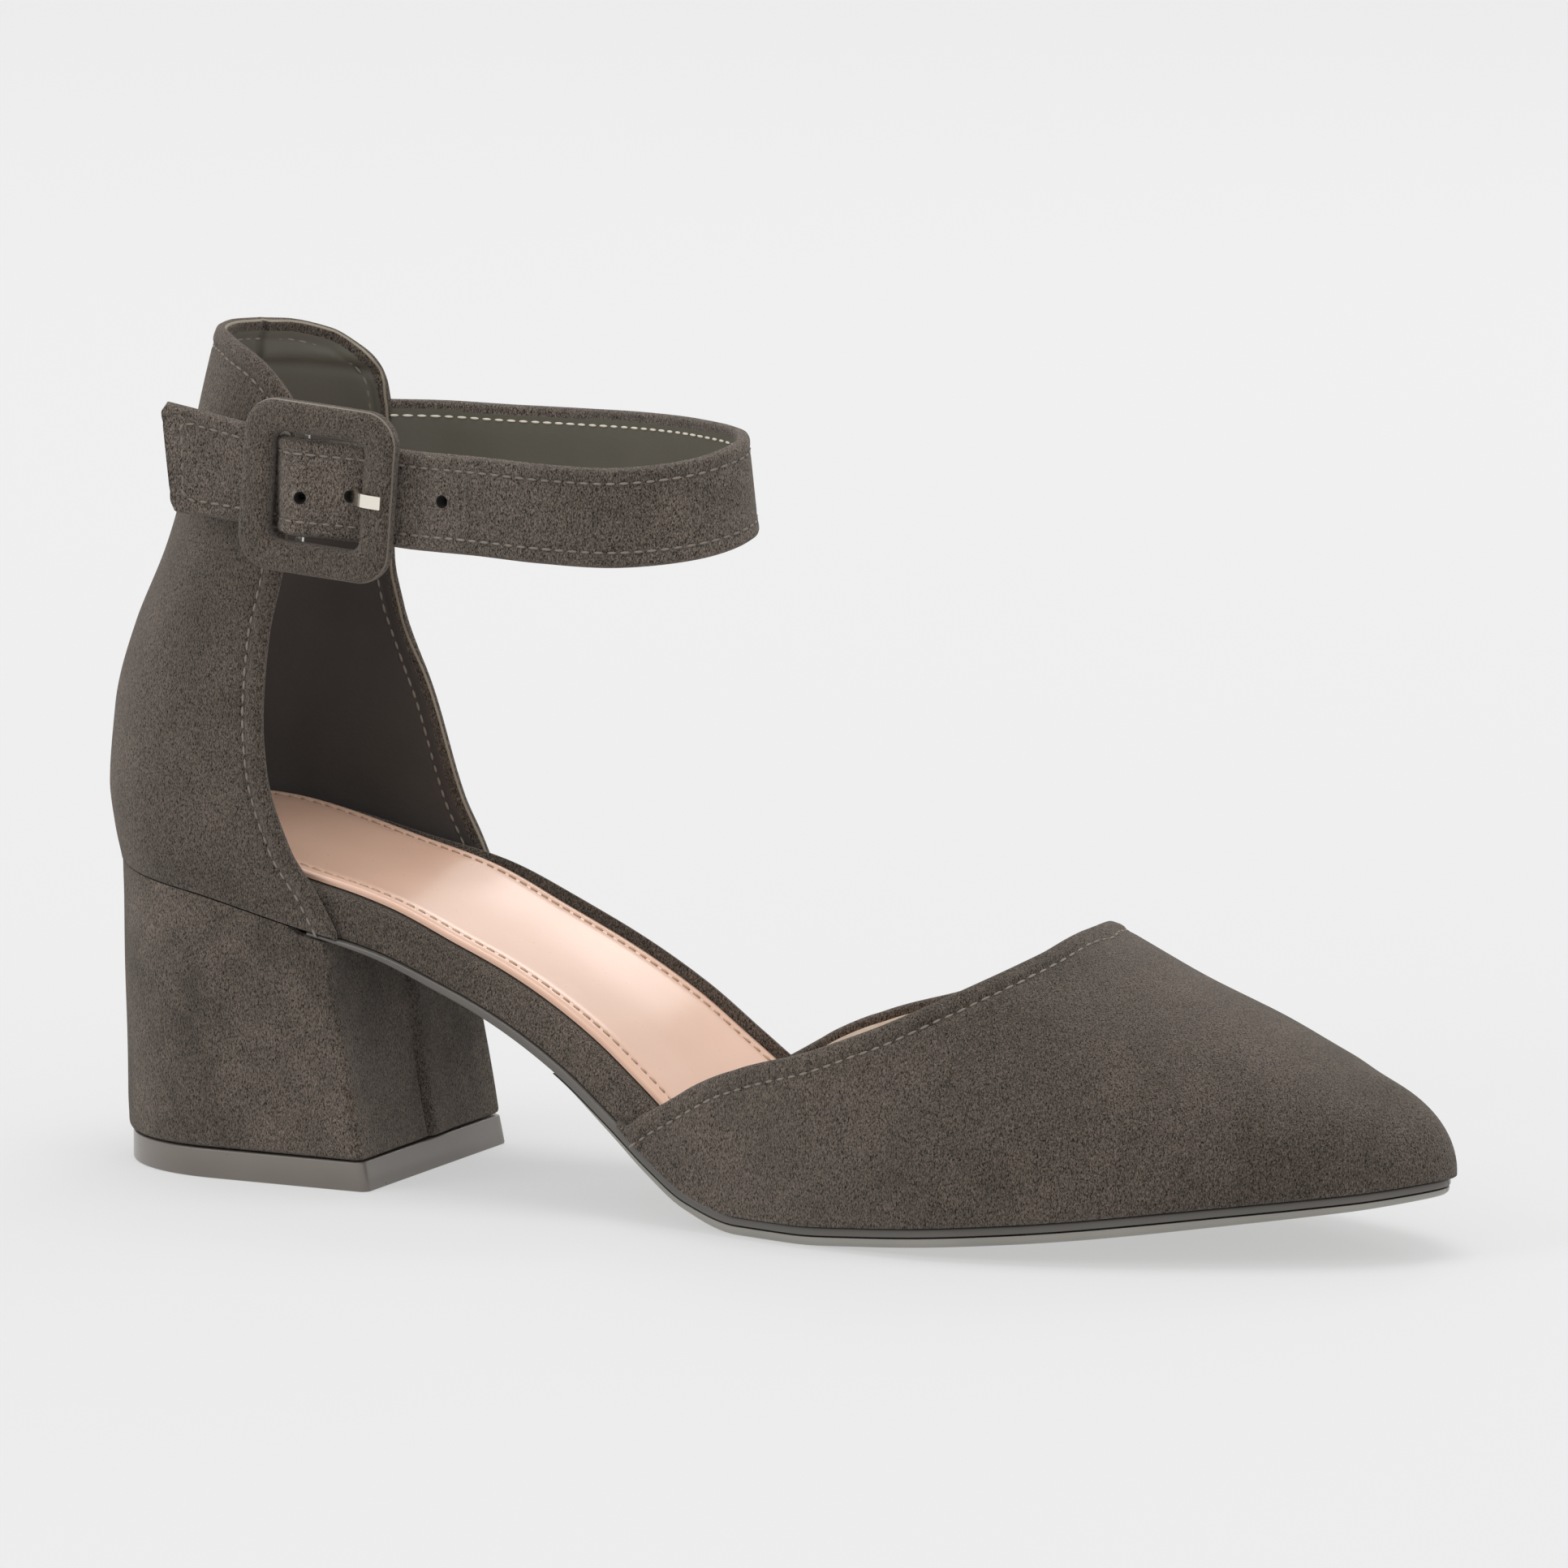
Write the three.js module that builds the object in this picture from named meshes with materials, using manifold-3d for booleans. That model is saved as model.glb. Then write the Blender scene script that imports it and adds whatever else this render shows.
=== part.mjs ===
// An open-sided pump for the right foot: pointed toe, high heel cup, ankle strap with a covered square
// buckle, covered block heel. Millimetres, X towards the toe, Y towards the inner side of the foot, Z up.
// The origin is the centre of the ground face of the heel's top piece.

import * as THREE from "three";
import { mergeVertices } from "three/addons/utils/BufferGeometryUtils.js";
import Module from "manifold-3d";

// Last and sole
const soleLength = 250;
const seatBehindHeelCentre = 31.4;
const seatHeight = 53.9;
const toeSpring = 10.3;
const ballWidth = 72;
const seatWidth = 52.2;
const waistWidth = 47.2;
const toeTipOffset = 4.2;
const heelRoundLength = 24;
const toeRoundLength = 12;
const soleBandThickness = 1.5;
const treadThickness = 1.7;
const soleStepLength = 0.6;
const clearance = 0.3;

// Places along the sole, as shares of its length: where the band and the tread begin, and the flat spot
const soleStart = 0.19;
const treadStart = 0.385;
const flatStart = 0.535;
const flatEnd = 0.58;

// Insole board wrapped in the upper's material, and the sock on top of it
const boardThickness = 6.9;
const boardEdgeRadius = 2.4;
const sockThickness = 1.3;
const sockInset = 1.9;
const sockDish = 0.9;
const innerLip = 3;
const innerLipWidth = 1.5;

// Upper
const upperWall = 1.7;
const sideBulge = 2.7;
const instepRise = 45.7;
const throatPlace = 187.3;
const vampRearPlace = 109.3;
const toeRidgeSetback = 15.5;
const cupHeight = 95.2;
const cupLength = 53.2;

// Heel
const heelBaseLength = 57;
const heelTaper = 0.8;
const topPieceThickness = 5.2;
const topPieceFlare = 1.1;
const heelBackOverhang = 0.8;
const breastTopPlace = 52.2;
const breastSkew = 1.7;
const breastCornerRadius = 1.6;

// Ankle strap
const strapWidth = 17.3;
const strapThickness = 2.2;
const strapHeight = 124.6;
const strapReach = 91.5;
const strapSpan = 53.4;
const strapLean = 1.8;
const strapTailLength = 31.8;
const strapTailRise = 1.1;
const strapTailFlare = 1.8;
const strapTailSlant = 4.8;
const strapDrop = 0.08;

// Buckle
const buckleWidth = 29.4;
const buckleHeight = 30.2;
const windowWidth = 17.8;
const windowHeight = 19;
const buckleCornerRadius = 6;
const windowCornerRadius = 1.1;
const framePadding = 4.2;
const frameStandoff = 0.8;
const frameSquareness = 0.7;
const buckleCentreX = 22;
const barDiameter = 1.4;
const barPlace = 4.6;
const prongWidth = 2.3;
const prongThickness = 0.8;
const prongPlace = 0.1;
const chapeThickness = 0.7;
const chapeWidth = 12;
const chapeLength = 17;
const chapeStandoff = 0.7;

// Height of the feather line, where upper and sole meet. The arch column is a share of the seat's height
// over the standing sole, the spring column a share of the toe spring.
const profileRows = [
  { at: 0.0, arch: 1.0, spring: 0.0 },
  { at: 0.09, arch: 0.948, spring: 0.0 },
  { at: 0.18, arch: 0.848, spring: 0.0 },
  { at: 0.24, arch: 0.782, spring: 0.0 },
  { at: 0.29, arch: 0.687, spring: 0.0 },
  { at: 0.34, arch: 0.573, spring: 0.0 },
  { at: 0.39, arch: 0.427, spring: 0.0 },
  { at: 0.43, arch: 0.276, spring: 0.0 },
  { at: 0.465, arch: 0.14, spring: 0.0 },
  { at: 0.495, arch: 0.05, spring: 0.0 },
  { at: flatStart, arch: 0.0, spring: 0.0 },
  { at: flatEnd, arch: 0.0, spring: 0.0 },
  { at: 0.63, arch: 0.0, spring: 0.07 },
  { at: 0.7, arch: 0.0, spring: 0.21 },
  { at: 0.78, arch: 0.0, spring: 0.4 },
  { at: 0.86, arch: 0.0, spring: 0.62 },
  { at: 0.94, arch: 0.0, spring: 0.82 },
  { at: 1.0, arch: 0.0, spring: 0.98 },
];

// Half widths of the sole on the outer and inner side of the foot, as shares of the width in each row
const outlineRows = [
  { at: 0.0, of: seatWidth, outer: 0.383, inner: 0.383 },
  { at: 0.06, of: seatWidth, outer: 0.471, inner: 0.471 },
  { at: 0.13, of: seatWidth, outer: 0.502, inner: 0.498 },
  { at: 0.22, of: seatWidth, outer: 0.498, inner: 0.479 },
  { at: 0.32, of: waistWidth, outer: 0.521, inner: 0.479 },
  { at: 0.42, of: waistWidth, outer: 0.564, inner: 0.496 },
  { at: 0.52, of: ballWidth, outer: 0.436, inner: 0.389 },
  { at: 0.6, of: ballWidth, outer: 0.486, inner: 0.458 },
  { at: 0.67, of: ballWidth, outer: 0.497, inner: 0.503 },
  { at: 0.74, of: ballWidth, outer: 0.464, inner: 0.508 },
  { at: 0.82, of: ballWidth, outer: 0.375, inner: 0.458 },
  { at: 0.9, of: ballWidth, outer: 0.247, inner: 0.353 },
  { at: 0.96, of: ballWidth, outer: 0.133, inner: 0.25 },
  { at: 1.0, of: ballWidth, outer: 0.05, inner: 0.167 },
];

// How far the upper's outside and the sole's edge stand out from that outline, as shares of the wall
const edgeRows = [
  { at: 0.0, upper: 0.06, sole: -0.18 },
  { at: 0.2, upper: 0.12, sole: -0.12 },
  { at: 0.3, upper: 0.82, sole: 0.0 },
  { at: 0.45, upper: 0.94, sole: 0.18 },
  { at: 1.0, upper: 0.94, sole: 0.24 },
];

// Thickness of the sole's dark band, the tread and the insole board, and the height of the board's lip on
// the inner side, as shares of their full sizes
const layerRows = [
  { at: 0.0, band: 0.35, tread: 0.3, board: 1.25, lip: 0.0 },
  { at: 0.2, band: 0.45, tread: 0.3, board: 1.15, lip: 0.6 },
  { at: 0.3, band: 0.9, tread: 0.3, board: 1.0, lip: 1.0 },
  { at: 0.4, band: 1.0, tread: 0.35, board: 1.0, lip: 1.0 },
  { at: 0.48, band: 1.0, tread: 0.7, board: 1.0, lip: 1.0 },
  { at: 0.53, band: 1.0, tread: 1.0, board: 0.95, lip: 0.6 },
  { at: 0.6, band: 1.0, tread: 1.0, board: 0.8, lip: 0.0 },
  { at: 0.8, band: 1.0, tread: 1.0, board: 0.6, lip: 0.0 },
  { at: 1.0, band: 0.9, tread: 0.7, board: 0.5, lip: 0.0 },
];

// Vamp: height of its ridge over the feather line, and height of the edge of its opening on both sides,
// as shares of the instep rise. Behind the throat the ridge only guides the side walls.
const vampRows = [
  { at: 0.42, ridge: 2.9, edge: 0.004 },
  { at: 0.438, ridge: 2.85, edge: 0.012 },
  { at: 0.46, ridge: 2.8, edge: 0.16 },
  { at: 0.5, ridge: 2.7, edge: 0.42 },
  { at: 0.53, ridge: 2.5, edge: 0.54 },
  { at: 0.593, ridge: 1.75, edge: 0.652 },
  { at: 0.646, ridge: 1.4, edge: 0.752 },
  { at: 0.692, ridge: 1.18, edge: 0.857 },
  { at: 0.731, ridge: 1.05, edge: 0.952 },
  { at: 0.748, ridge: 0.995, edge: 1.0 },
  { at: 0.804, ridge: 0.815, edge: 1.0 },
  { at: 0.867, ridge: 0.638, edge: 1.0 },
  { at: 0.914, ridge: 0.497, edge: 1.0 },
  { at: 0.946, ridge: 0.413, edge: 1.0 },
  { at: 1.0, ridge: 0.42, edge: 1.0 },
];

// Roundness of the vamp's cross section: pull of its wall and of its top, and the bulge of its side
const ribRows = [
  { at: 0.42, wall: 0.45, top: 0.5, bulge: 0.2 },
  { at: 0.6, wall: 0.52, top: 0.55, bulge: 0.5 },
  { at: 0.75, wall: 0.52, top: 0.56, bulge: 0.9 },
  { at: 0.9, wall: 0.55, top: 0.56, bulge: 0.8 },
  { at: 1.0, wall: 0.52, top: 0.52, bulge: 0.1 },
];

// Heel cup, by height: how far the back stands in (share of the cup's height), its width (share of the
// seat's), and how far its front edges reach on both sides (share of the cup's length)
const cupRows = [
  { at: 0.0, back: 0.0, width: 1.0 },
  { at: 0.066, back: -0.013, width: 1.02 },
  { at: 0.143, back: -0.022, width: 1.035 },
  { at: 0.284, back: -0.01, width: 1.035 },
  { at: 0.441, back: 0.035, width: 1.02 },
  { at: 0.6, back: 0.102, width: 0.985 },
  { at: 0.66, back: 0.122, width: 0.97 },
  { at: 0.86, back: 0.167, width: 0.935 },
  { at: 1.0, back: 0.203, width: 0.92 },
];
const outerFrontRows = [
  { at: 0.0, reach: 1.0 },
  { at: 0.072, reach: 0.93 },
  { at: 0.148, reach: 0.835 },
  { at: 0.283, reach: 0.75 },
  { at: 0.389, reach: 0.735 },
  { at: 0.542, reach: 0.752 },
  { at: 0.695, reach: 0.8 },
  { at: 1.0, reach: 0.835 },
];
const innerFrontRows = [
  { at: 0.0, reach: 1.156 },
  { at: 0.132, reach: 1.045 },
  { at: 0.2, reach: 0.983 },
  { at: 0.39, reach: 0.874 },
  { at: 0.566, reach: 0.763 },
  { at: 0.68, reach: 0.737 },
  { at: 1.0, reach: 0.75 },
];

// Drop of the cup's top edge from the back to its front corners, as a share of its height
const topEdgeRows = [
  { at: 0.0, outer: 0.0, inner: 0.0 },
  { at: 0.45, outer: 0.002, inner: 0.01 },
  { at: 0.7, outer: 0.02, inner: 0.032 },
  { at: 0.83, outer: 0.041, inner: 0.06 },
  { at: 0.915, outer: 0.068, inner: 0.085 },
  { at: 0.98, outer: 0.1, inner: 0.13 },
  { at: 1.0, outer: 0.12, inner: 0.172 },
];

// The strap's free loop from the cup's inner edge round the front to the buckle. Reach is a share of the
// strap's reach, side of its span, rise of its width, and lean of the full lean at the front.
const loopRows = [
  { reach: 0.19, side: 0.484, rise: 0.0, lean: 0.0 },
  { reach: 0.33, side: 0.482, rise: 0.0, lean: 0.0 },
  { reach: 0.48, side: 0.452, rise: 0.02, lean: 0.1 },
  { reach: 0.66, side: 0.366, rise: 0.06, lean: 0.3 },
  { reach: 0.83, side: 0.205, rise: 0.1, lean: 0.7 },
  { reach: 0.96, side: 0.03, rise: 0.1, lean: 1.0 },
  { reach: 0.998, side: -0.13, rise: 0.04, lean: 1.0 },
  { reach: 0.955, side: -0.3, rise: -0.07, lean: 0.8 },
  { reach: 0.83, side: -0.44, rise: -0.15, lean: 0.4 },
  { reach: 0.69, side: -0.505, rise: -0.13, lean: 0.1 },
  { reach: 0.56, side: -0.523, rise: -0.09, lean: 0.0 },
];

// How the strap passes through the buckle and ends in its tail. A row starts at a rail of the frame (share
// of half the distance between them) or at the bar, goes along by a share of the strap's thickness, and is
// lifted by a share of the way from under the rails to over the bar. Tail is the share of the tail's rise
// and flare.
const buckleRouteRows = [
  { rail: 1, bar: 0, along: 2.05, lift: 0.0, tail: 0.0 },
  { rail: 1, bar: 0, along: -0.23, lift: 0.05, tail: 0.0 },
  { rail: 1, bar: 0, along: -2.05, lift: 0.22, tail: 0.0 },
  { rail: 0, bar: 1, along: 1.55, lift: 0.76, tail: 0.0 },
  { rail: 0, bar: 1, along: 0.55, lift: 0.976, tail: 0.0 },
  { rail: 0, bar: 1, along: -0.36, lift: 1.0, tail: 0.0 },
  { rail: 0, bar: 1, along: -1.23, lift: 0.7, tail: 0.0 },
  { rail: 0, bar: 1, along: -1.95, lift: 0.1, tail: 0.0 },
  { rail: -1, bar: 0, along: 0.27, lift: 0.02, tail: 0.0 },
  { rail: -1, bar: 0, along: -1.55, lift: 0.0, tail: 0.1 },
  { rail: -1, bar: 0, along: -5.0, lift: -0.02, tail: 0.5 },
];

// The prong's way from the bar under the strap, through its hole and over the rail, in the same columns.
// Here the lift goes from under the rails to over the padded frame.
const prongRouteRows = [
  { rail: 0, bar: 1, along: 0.64, lift: 0.116 },
  { rail: 0, bar: 1, along: 1.86, lift: 0.058 },
  { rail: 1, bar: 0, along: -4.23, lift: -0.029 },
  { rail: 1, bar: 0, along: -3.41, lift: 0.072 },
  { rail: 1, bar: 0, along: -2.68, lift: 0.333 },
  { rail: 1, bar: 0, along: -1.95, lift: 0.652 },
  { rail: 1, bar: 0, along: -1.09, lift: 0.928 },
  { rail: 1, bar: 0, along: -0.27, lift: 1.0 },
  { rail: 1, bar: 0, along: 0.8, lift: 1.0 },
];

const outerSide = -1;
const innerSide = 1;
const heelTurn = 0.15;
const toeTurn = 0.15;
const heelRoundPower = 2.2;
const toeRoundPower = 2;
const halfGap = clearance / 2;
const standHeight = soleBandThickness + treadThickness + clearance + halfGap;

const wasm = await Module();
wasm.setup();

// A smooth curve through the rows of a table that never overshoots between them
function smoothColumn(rows, key) {
  const at = rows.map((row) => row.at);
  const value = rows.map((row) => row[key]);
  const chord = at.slice(1).map((a, i) => (value[i + 1] - value[i]) / (a - at[i]));
  const slope = value.map((_, i) => {
    if (i === 0 || i === value.length - 1) return 0;
    const [before, after] = [chord[i - 1], chord[i]];
    return before * after <= 0 ? 0 : (2 * before * after) / (before + after);
  });
  slope[0] = chord[0];
  slope[value.length - 1] = chord[chord.length - 1];
  return (place) => {
    const x = THREE.MathUtils.clamp(place, at[0], at[at.length - 1]);
    let i = 0;
    while (i < at.length - 2 && x > at[i + 1]) i += 1;
    const span = at[i + 1] - at[i];
    const s = (x - at[i]) / span;
    const rise = value[i + 1] - value[i];
    const bend = slope[i] * span * s * (1 - s) ** 2 - slope[i + 1] * span * s ** 2 * (1 - s);
    return value[i] + rise * s * s * (3 - 2 * s) + bend;
  };
}

const archShare = smoothColumn(profileRows, "arch");
const springShare = smoothColumn(profileRows, "spring");
const outlineSizes = outlineRows.map(({ at, of, outer, inner }) => ({
  at,
  outer: outer * of,
  inner: inner * of,
}));
const outerHalfWidth = smoothColumn(outlineSizes, "outer");
const innerHalfWidth = smoothColumn(outlineSizes, "inner");
const upperEdge = smoothColumn(edgeRows, "upper");
const soleEdge = smoothColumn(edgeRows, "sole");
const bandShare = smoothColumn(layerRows, "band");
const treadShare = smoothColumn(layerRows, "tread");
const boardShare = smoothColumn(layerRows, "board");
const lipShare = smoothColumn(layerRows, "lip");
const ridgeShare = smoothColumn(vampRows, "ridge");
const vampEdgeShare = smoothColumn(vampRows, "edge");
const ribWall = smoothColumn(ribRows, "wall");
const ribTop = smoothColumn(ribRows, "top");
const ribBulge = smoothColumn(ribRows, "bulge");
const cupBack = smoothColumn(cupRows, "back");
const cupWidth = smoothColumn(cupRows, "width");
const outerFront = smoothColumn(outerFrontRows, "reach");
const innerFront = smoothColumn(innerFrontRows, "reach");
const outerTopDrop = smoothColumn(topEdgeRows, "outer");
const innerTopDrop = smoothColumn(topEdgeRows, "inner");

function shareAt(x) {
  return (x + seatBehindHeelCentre) / soleLength;
}

function placeAt(share) {
  return share * soleLength - seatBehindHeelCentre;
}

function featherHeight(x) {
  const share = shareAt(x);
  return (
    standHeight + archShare(share) * (seatHeight - standHeight) + springShare(share) * toeSpring
  );
}

// A point above or below the feather line, measured square to the sole
function overFeather(plan, height) {
  const reach = 0.5;
  const low = placeAt(0.01);
  const high = placeAt(0.99);
  const x = THREE.MathUtils.clamp(plan.x, low, high);
  const slope = (featherHeight(x + reach) - featherHeight(x - reach)) / (2 * reach);
  const long = Math.hypot(1, slope);
  return new THREE.Vector3(
    plan.x - (height * slope) / long,
    plan.y,
    featherHeight(plan.x) + height / long,
  );
}

// The walk along the outline: 0 at the back of the seat, 1 at the tip of the toe
function along(walk) {
  if (walk < heelTurn) {
    const angle = (walk / heelTurn) * (Math.PI / 2);
    const power = 2 / heelRoundPower;
    return {
      x: placeAt(0) + heelRoundLength * (1 - Math.cos(angle) ** power),
      fill: Math.sin(angle) ** power,
    };
  }
  if (walk > 1 - toeTurn) {
    const angle = ((1 - walk) / toeTurn) * (Math.PI / 2);
    const power = 2 / toeRoundPower;
    return {
      x: placeAt(1) - toeRoundLength * (1 - Math.cos(angle) ** power),
      fill: Math.sin(Math.max(angle, 0)) ** power,
    };
  }
  const straight = soleLength - heelRoundLength - toeRoundLength;
  const share = (walk - heelTurn) / (1 - heelTurn - toeTurn);
  return { x: placeAt(0) + heelRoundLength + share * straight, fill: 1 };
}

function walkTo(x) {
  let low = 0;
  let high = 1;
  for (let i = 0; i < 40; i += 1) {
    const middle = (low + high) / 2;
    if (along(middle).x < x) low = middle;
    else high = middle;
  }
  return (low + high) / 2;
}

function outlineY(side, walk) {
  const { x, fill } = along(walk);
  const share = shareAt(x);
  const outer = -outerHalfWidth(share);
  const inner = innerHalfWidth(share);
  const towardsToe = THREE.MathUtils.smoothstep(share, 0.5, 1);
  const middle = towardsToe * toeTipOffset;
  const edge = side === outerSide ? outer : inner;
  return middle + (edge - middle) * fill;
}

// A point of the outline in plan, moved out by an offset square to it
function rim(side, walk, offset) {
  if (walk <= 0) return { x: along(0).x - offset, y: outlineY(side, 0) };
  if (walk >= 1) return { x: along(1).x + offset, y: outlineY(side, 1) };
  const step = 1e-4;
  const before = Math.max(0, walk - step);
  const after = Math.min(1, walk + step);
  const dx = along(after).x - along(before).x;
  const dy = outlineY(side, after) - outlineY(side, before);
  const long = Math.hypot(dx, dy);
  return {
    x: along(walk).x - (side * dy * offset) / long,
    y: outlineY(side, walk) + (side * dx * offset) / long,
  };
}

function upperOffset(walk) {
  return upperEdge(shareAt(along(walk).x)) * upperWall;
}

function boardOffset(walk) {
  return upperOffset(walk) - upperWall - clearance;
}

function walks(from, to, count) {
  return Array.from({ length: count + 1 }, (_, i) => from + ((to - from) * i) / count);
}

// Closed surfaces

// Builds a geometry from triangles of points, drops the empty ones and turns its faces outwards
function closedGeometry(triangles) {
  const places = new Map();
  const points = [];
  const index = [];
  const indexOf = (point) => {
    const key = [point.x, point.y, point.z].map((value) => Math.round(value * 1e4)).join();
    if (!places.has(key)) {
      places.set(key, points.length);
      points.push(point);
    }
    return places.get(key);
  };
  for (const triangle of triangles) {
    const [a, b, c] = triangle.map(indexOf);
    if (a !== b && b !== c && c !== a) index.push(a, b, c);
  }
  let volume = 0;
  for (let i = 0; i < index.length; i += 3) {
    const [a, b, c] = index.slice(i, i + 3).map((k) => points[k]);
    volume += a.dot(b.clone().cross(c));
  }
  if (volume < 0) index.reverse();
  const geometry = new THREE.BufferGeometry();
  const flat = points.flatMap((point) => [point.x, point.y, point.z]);
  geometry.setAttribute("position", new THREE.Float32BufferAttribute(flat, 3));
  geometry.setIndex(index);
  geometry.computeVertexNormals();
  return geometry;
}

function quad(a, b, c, d) {
  return [
    [a, b, c],
    [a, c, d],
  ];
}

function fanCap(ring, reversed) {
  const centre = ring.reduce((sum, point) => sum.add(point), new THREE.Vector3());
  centre.divideScalar(ring.length);
  return ring.map((point, i) => {
    const next = ring[(i + 1) % ring.length];
    return reversed ? [centre, next, point] : [centre, point, next];
  });
}

// Joins rings of points, one after the other, into a closed body. Rings that close to a line need no cap.
function loft(rings, { capFirst = true, capLast = true, loop = false } = {}) {
  const triangles = [];
  const last = loop ? rings.length : rings.length - 1;
  for (let i = 0; i < last; i += 1) {
    const here = rings[i];
    const there = rings[(i + 1) % rings.length];
    here.forEach((point, k) => {
      const next = (k + 1) % here.length;
      triangles.push(...quad(point, here[next], there[next], there[k]));
    });
  }
  if (!loop && capFirst) triangles.push(...fanCap(rings[0], true));
  if (!loop && capLast) triangles.push(...fanCap(rings[rings.length - 1], false));
  return closedGeometry(triangles);
}

// Gives an open surface a wall on its inner side and closes its edges
function wallFrom(triangles, wall) {
  const keyOf = (point) =>
    [point.x, point.y, point.z].map((value) => Math.round(value * 1e4)).join();
  const normals = new Map();
  const kept = triangles.filter((triangle) => new Set(triangle.map(keyOf)).size === 3);
  for (const [a, b, c] of kept) {
    const face = b.clone().sub(a).cross(c.clone().sub(a));
    for (const point of [a, b, c]) {
      const key = keyOf(point);
      if (!normals.has(key)) normals.set(key, new THREE.Vector3());
      normals.get(key).add(face);
    }
  }
  const innerOf = (point) => {
    const normal = normals.get(keyOf(point)).clone().normalize();
    return point.clone().addScaledVector(normal, -wall);
  };
  const edges = new Map();
  for (const triangle of kept) {
    triangle.forEach((point, k) => {
      const next = triangle[(k + 1) % 3];
      edges.set(keyOf(point) + "|" + keyOf(next), [point, next]);
    });
  }
  const closed = [];
  for (const [a, b, c] of kept) {
    closed.push([a, b, c]);
    closed.push([innerOf(a), innerOf(c), innerOf(b)]);
  }
  for (const [key, [a, b]] of edges) {
    const back = key.split("|").reverse().join("|");
    if (!edges.has(back)) closed.push(...quad(b, a, innerOf(a), innerOf(b)));
  }
  return closedGeometry(closed);
}

function toSolid(geometry) {
  const bare = geometry.clone();
  bare.deleteAttribute("normal");
  bare.deleteAttribute("uv");
  const merged = mergeVertices(bare, 1e-4);
  return new wasm.Manifold(
    new wasm.Mesh({
      numProp: 3,
      vertProperties: new Float32Array(merged.attributes.position.array),
      triVerts: new Uint32Array(merged.index.array),
    }),
  );
}

function toGeometry(solid) {
  const mesh = solid.getMesh();
  const geometry = new THREE.BufferGeometry();
  geometry.setAttribute("position", new THREE.BufferAttribute(mesh.vertProperties, 3));
  geometry.setIndex(new THREE.BufferAttribute(mesh.triVerts, 1));
  geometry.computeVertexNormals();
  return geometry;
}

// A flat layer of the sole. Its section is a list of edge points from the bottom up, each with its
// height over the feather line and its offset from the outline. The middle of its faces may be dished.
function layer(stops, section, dish, caps) {
  const rings = stops.map((walk) => {
    const edgeOf = (side) =>
      section(walk, side).map(([height, offset]) => overFeather(rim(side, walk, offset), height));
    const outer = edgeOf(outerSide);
    const inner = edgeOf(innerSide);
    const middleOf = (a, b, depth) => {
      const middle = a.clone().add(b).divideScalar(2);
      middle.z -= depth * Math.min(1, a.distanceTo(b) / seatWidth);
      return middle;
    };
    const last = outer.length - 1;
    const top = middleOf(outer[last], inner[last], dish.top);
    const bottom = middleOf(outer[0], inner[0], dish.bottom);
    return [...outer, top, ...inner.reverse(), bottom];
  });
  return loft(rings, caps);
}

const flat = { top: 0, bottom: 0 };
const ball = walkTo(placeAt(flatStart));
const springing = walkTo(placeAt(flatEnd));
const fullWalk = [
  ...walks(0, heelTurn, 7),
  ...walks(heelTurn, ball, 14).slice(1),
  springing,
  ...walks(springing, 1 - toeTurn, 9).slice(1, -1),
];
const toeWalk = walks(1 - toeTurn, 1, 8);

function boardTop(walk) {
  return boardThickness * boardShare(shareAt(along(walk).x));
}

function bandBottom(walk) {
  return -halfGap - soleBandThickness * bandShare(shareAt(along(walk).x));
}

function makeOutsole() {
  const start = walkTo(placeAt(soleStart));
  const stops = [start, ...fullWalk.filter((walk) => walk > start), ...toeWalk];
  const section = (walk) => {
    const offset = soleEdge(shareAt(along(walk).x)) * upperWall;
    const bottom = bandBottom(walk);
    return [
      [bottom, offset - clearance],
      [bottom + clearance, offset],
      [-halfGap, offset],
    ];
  };
  return layer(stops, section, flat, { capLast: false });
}

function makeTread() {
  const start = walkTo(placeAt(treadStart));
  const stops = [start, ...fullWalk.filter((walk) => walk > start), ...toeWalk];
  const section = (walk) => {
    const share = shareAt(along(walk).x);
    const offset = soleEdge(share) * upperWall - clearance;
    const top = bandBottom(walk) - clearance;
    const bottom = top - treadThickness * treadShare(share);
    return [
      [bottom, offset - 0.8 * treadThickness],
      [bottom + 0.35 * (top - bottom), offset - 0.1 * treadThickness],
      [top, offset],
    ];
  };
  return layer(stops, section, flat, { capLast: false });
}

function makeBoard() {
  const section = (walk, side) => {
    const share = shareAt(along(walk).x);
    const offset = boardOffset(walk);
    const top = boardTop(walk);
    const radius = Math.min(boardEdgeRadius, 0.45 * top);
    const crest = top + (side === innerSide ? lipShare(share) * innerLip : 0);
    return [
      [halfGap, offset],
      [crest - radius, offset],
      [crest - 0.3 * radius, offset - 0.3 * radius],
      [crest, offset - 0.8 * radius],
      [top, offset - sockInset - innerLipWidth + clearance],
    ];
  };
  const dish = { top: sockDish, bottom: 0 };
  return layer([...fullWalk, ...toeWalk], section, dish, { capFirst: false, capLast: false });
}

function makeSock() {
  const section = (walk, side) => {
    const share = shareAt(along(walk).x);
    const lip = side === innerSide ? Math.min(1, 3 * lipShare(share)) * innerLipWidth : 0;
    const offset = boardOffset(walk) - sockInset - lip;
    const bottom = boardTop(walk) + clearance;
    return [
      [bottom, offset],
      [bottom + 0.6 * sockThickness, offset],
      [bottom + sockThickness, offset - 0.6 * sockThickness],
    ];
  };
  const dish = { top: sockDish, bottom: sockDish };
  return layer([...fullWalk, ...toeWalk], section, dish, { capFirst: false, capLast: false });
}

// Vamp

function ridgePlace(x) {
  const start = placeAt(0.87);
  const end = placeAt(1);
  if (x <= start) return x;
  const share = (x - start) / (end - start);
  return x - toeRidgeSetback * share * share;
}

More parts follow.
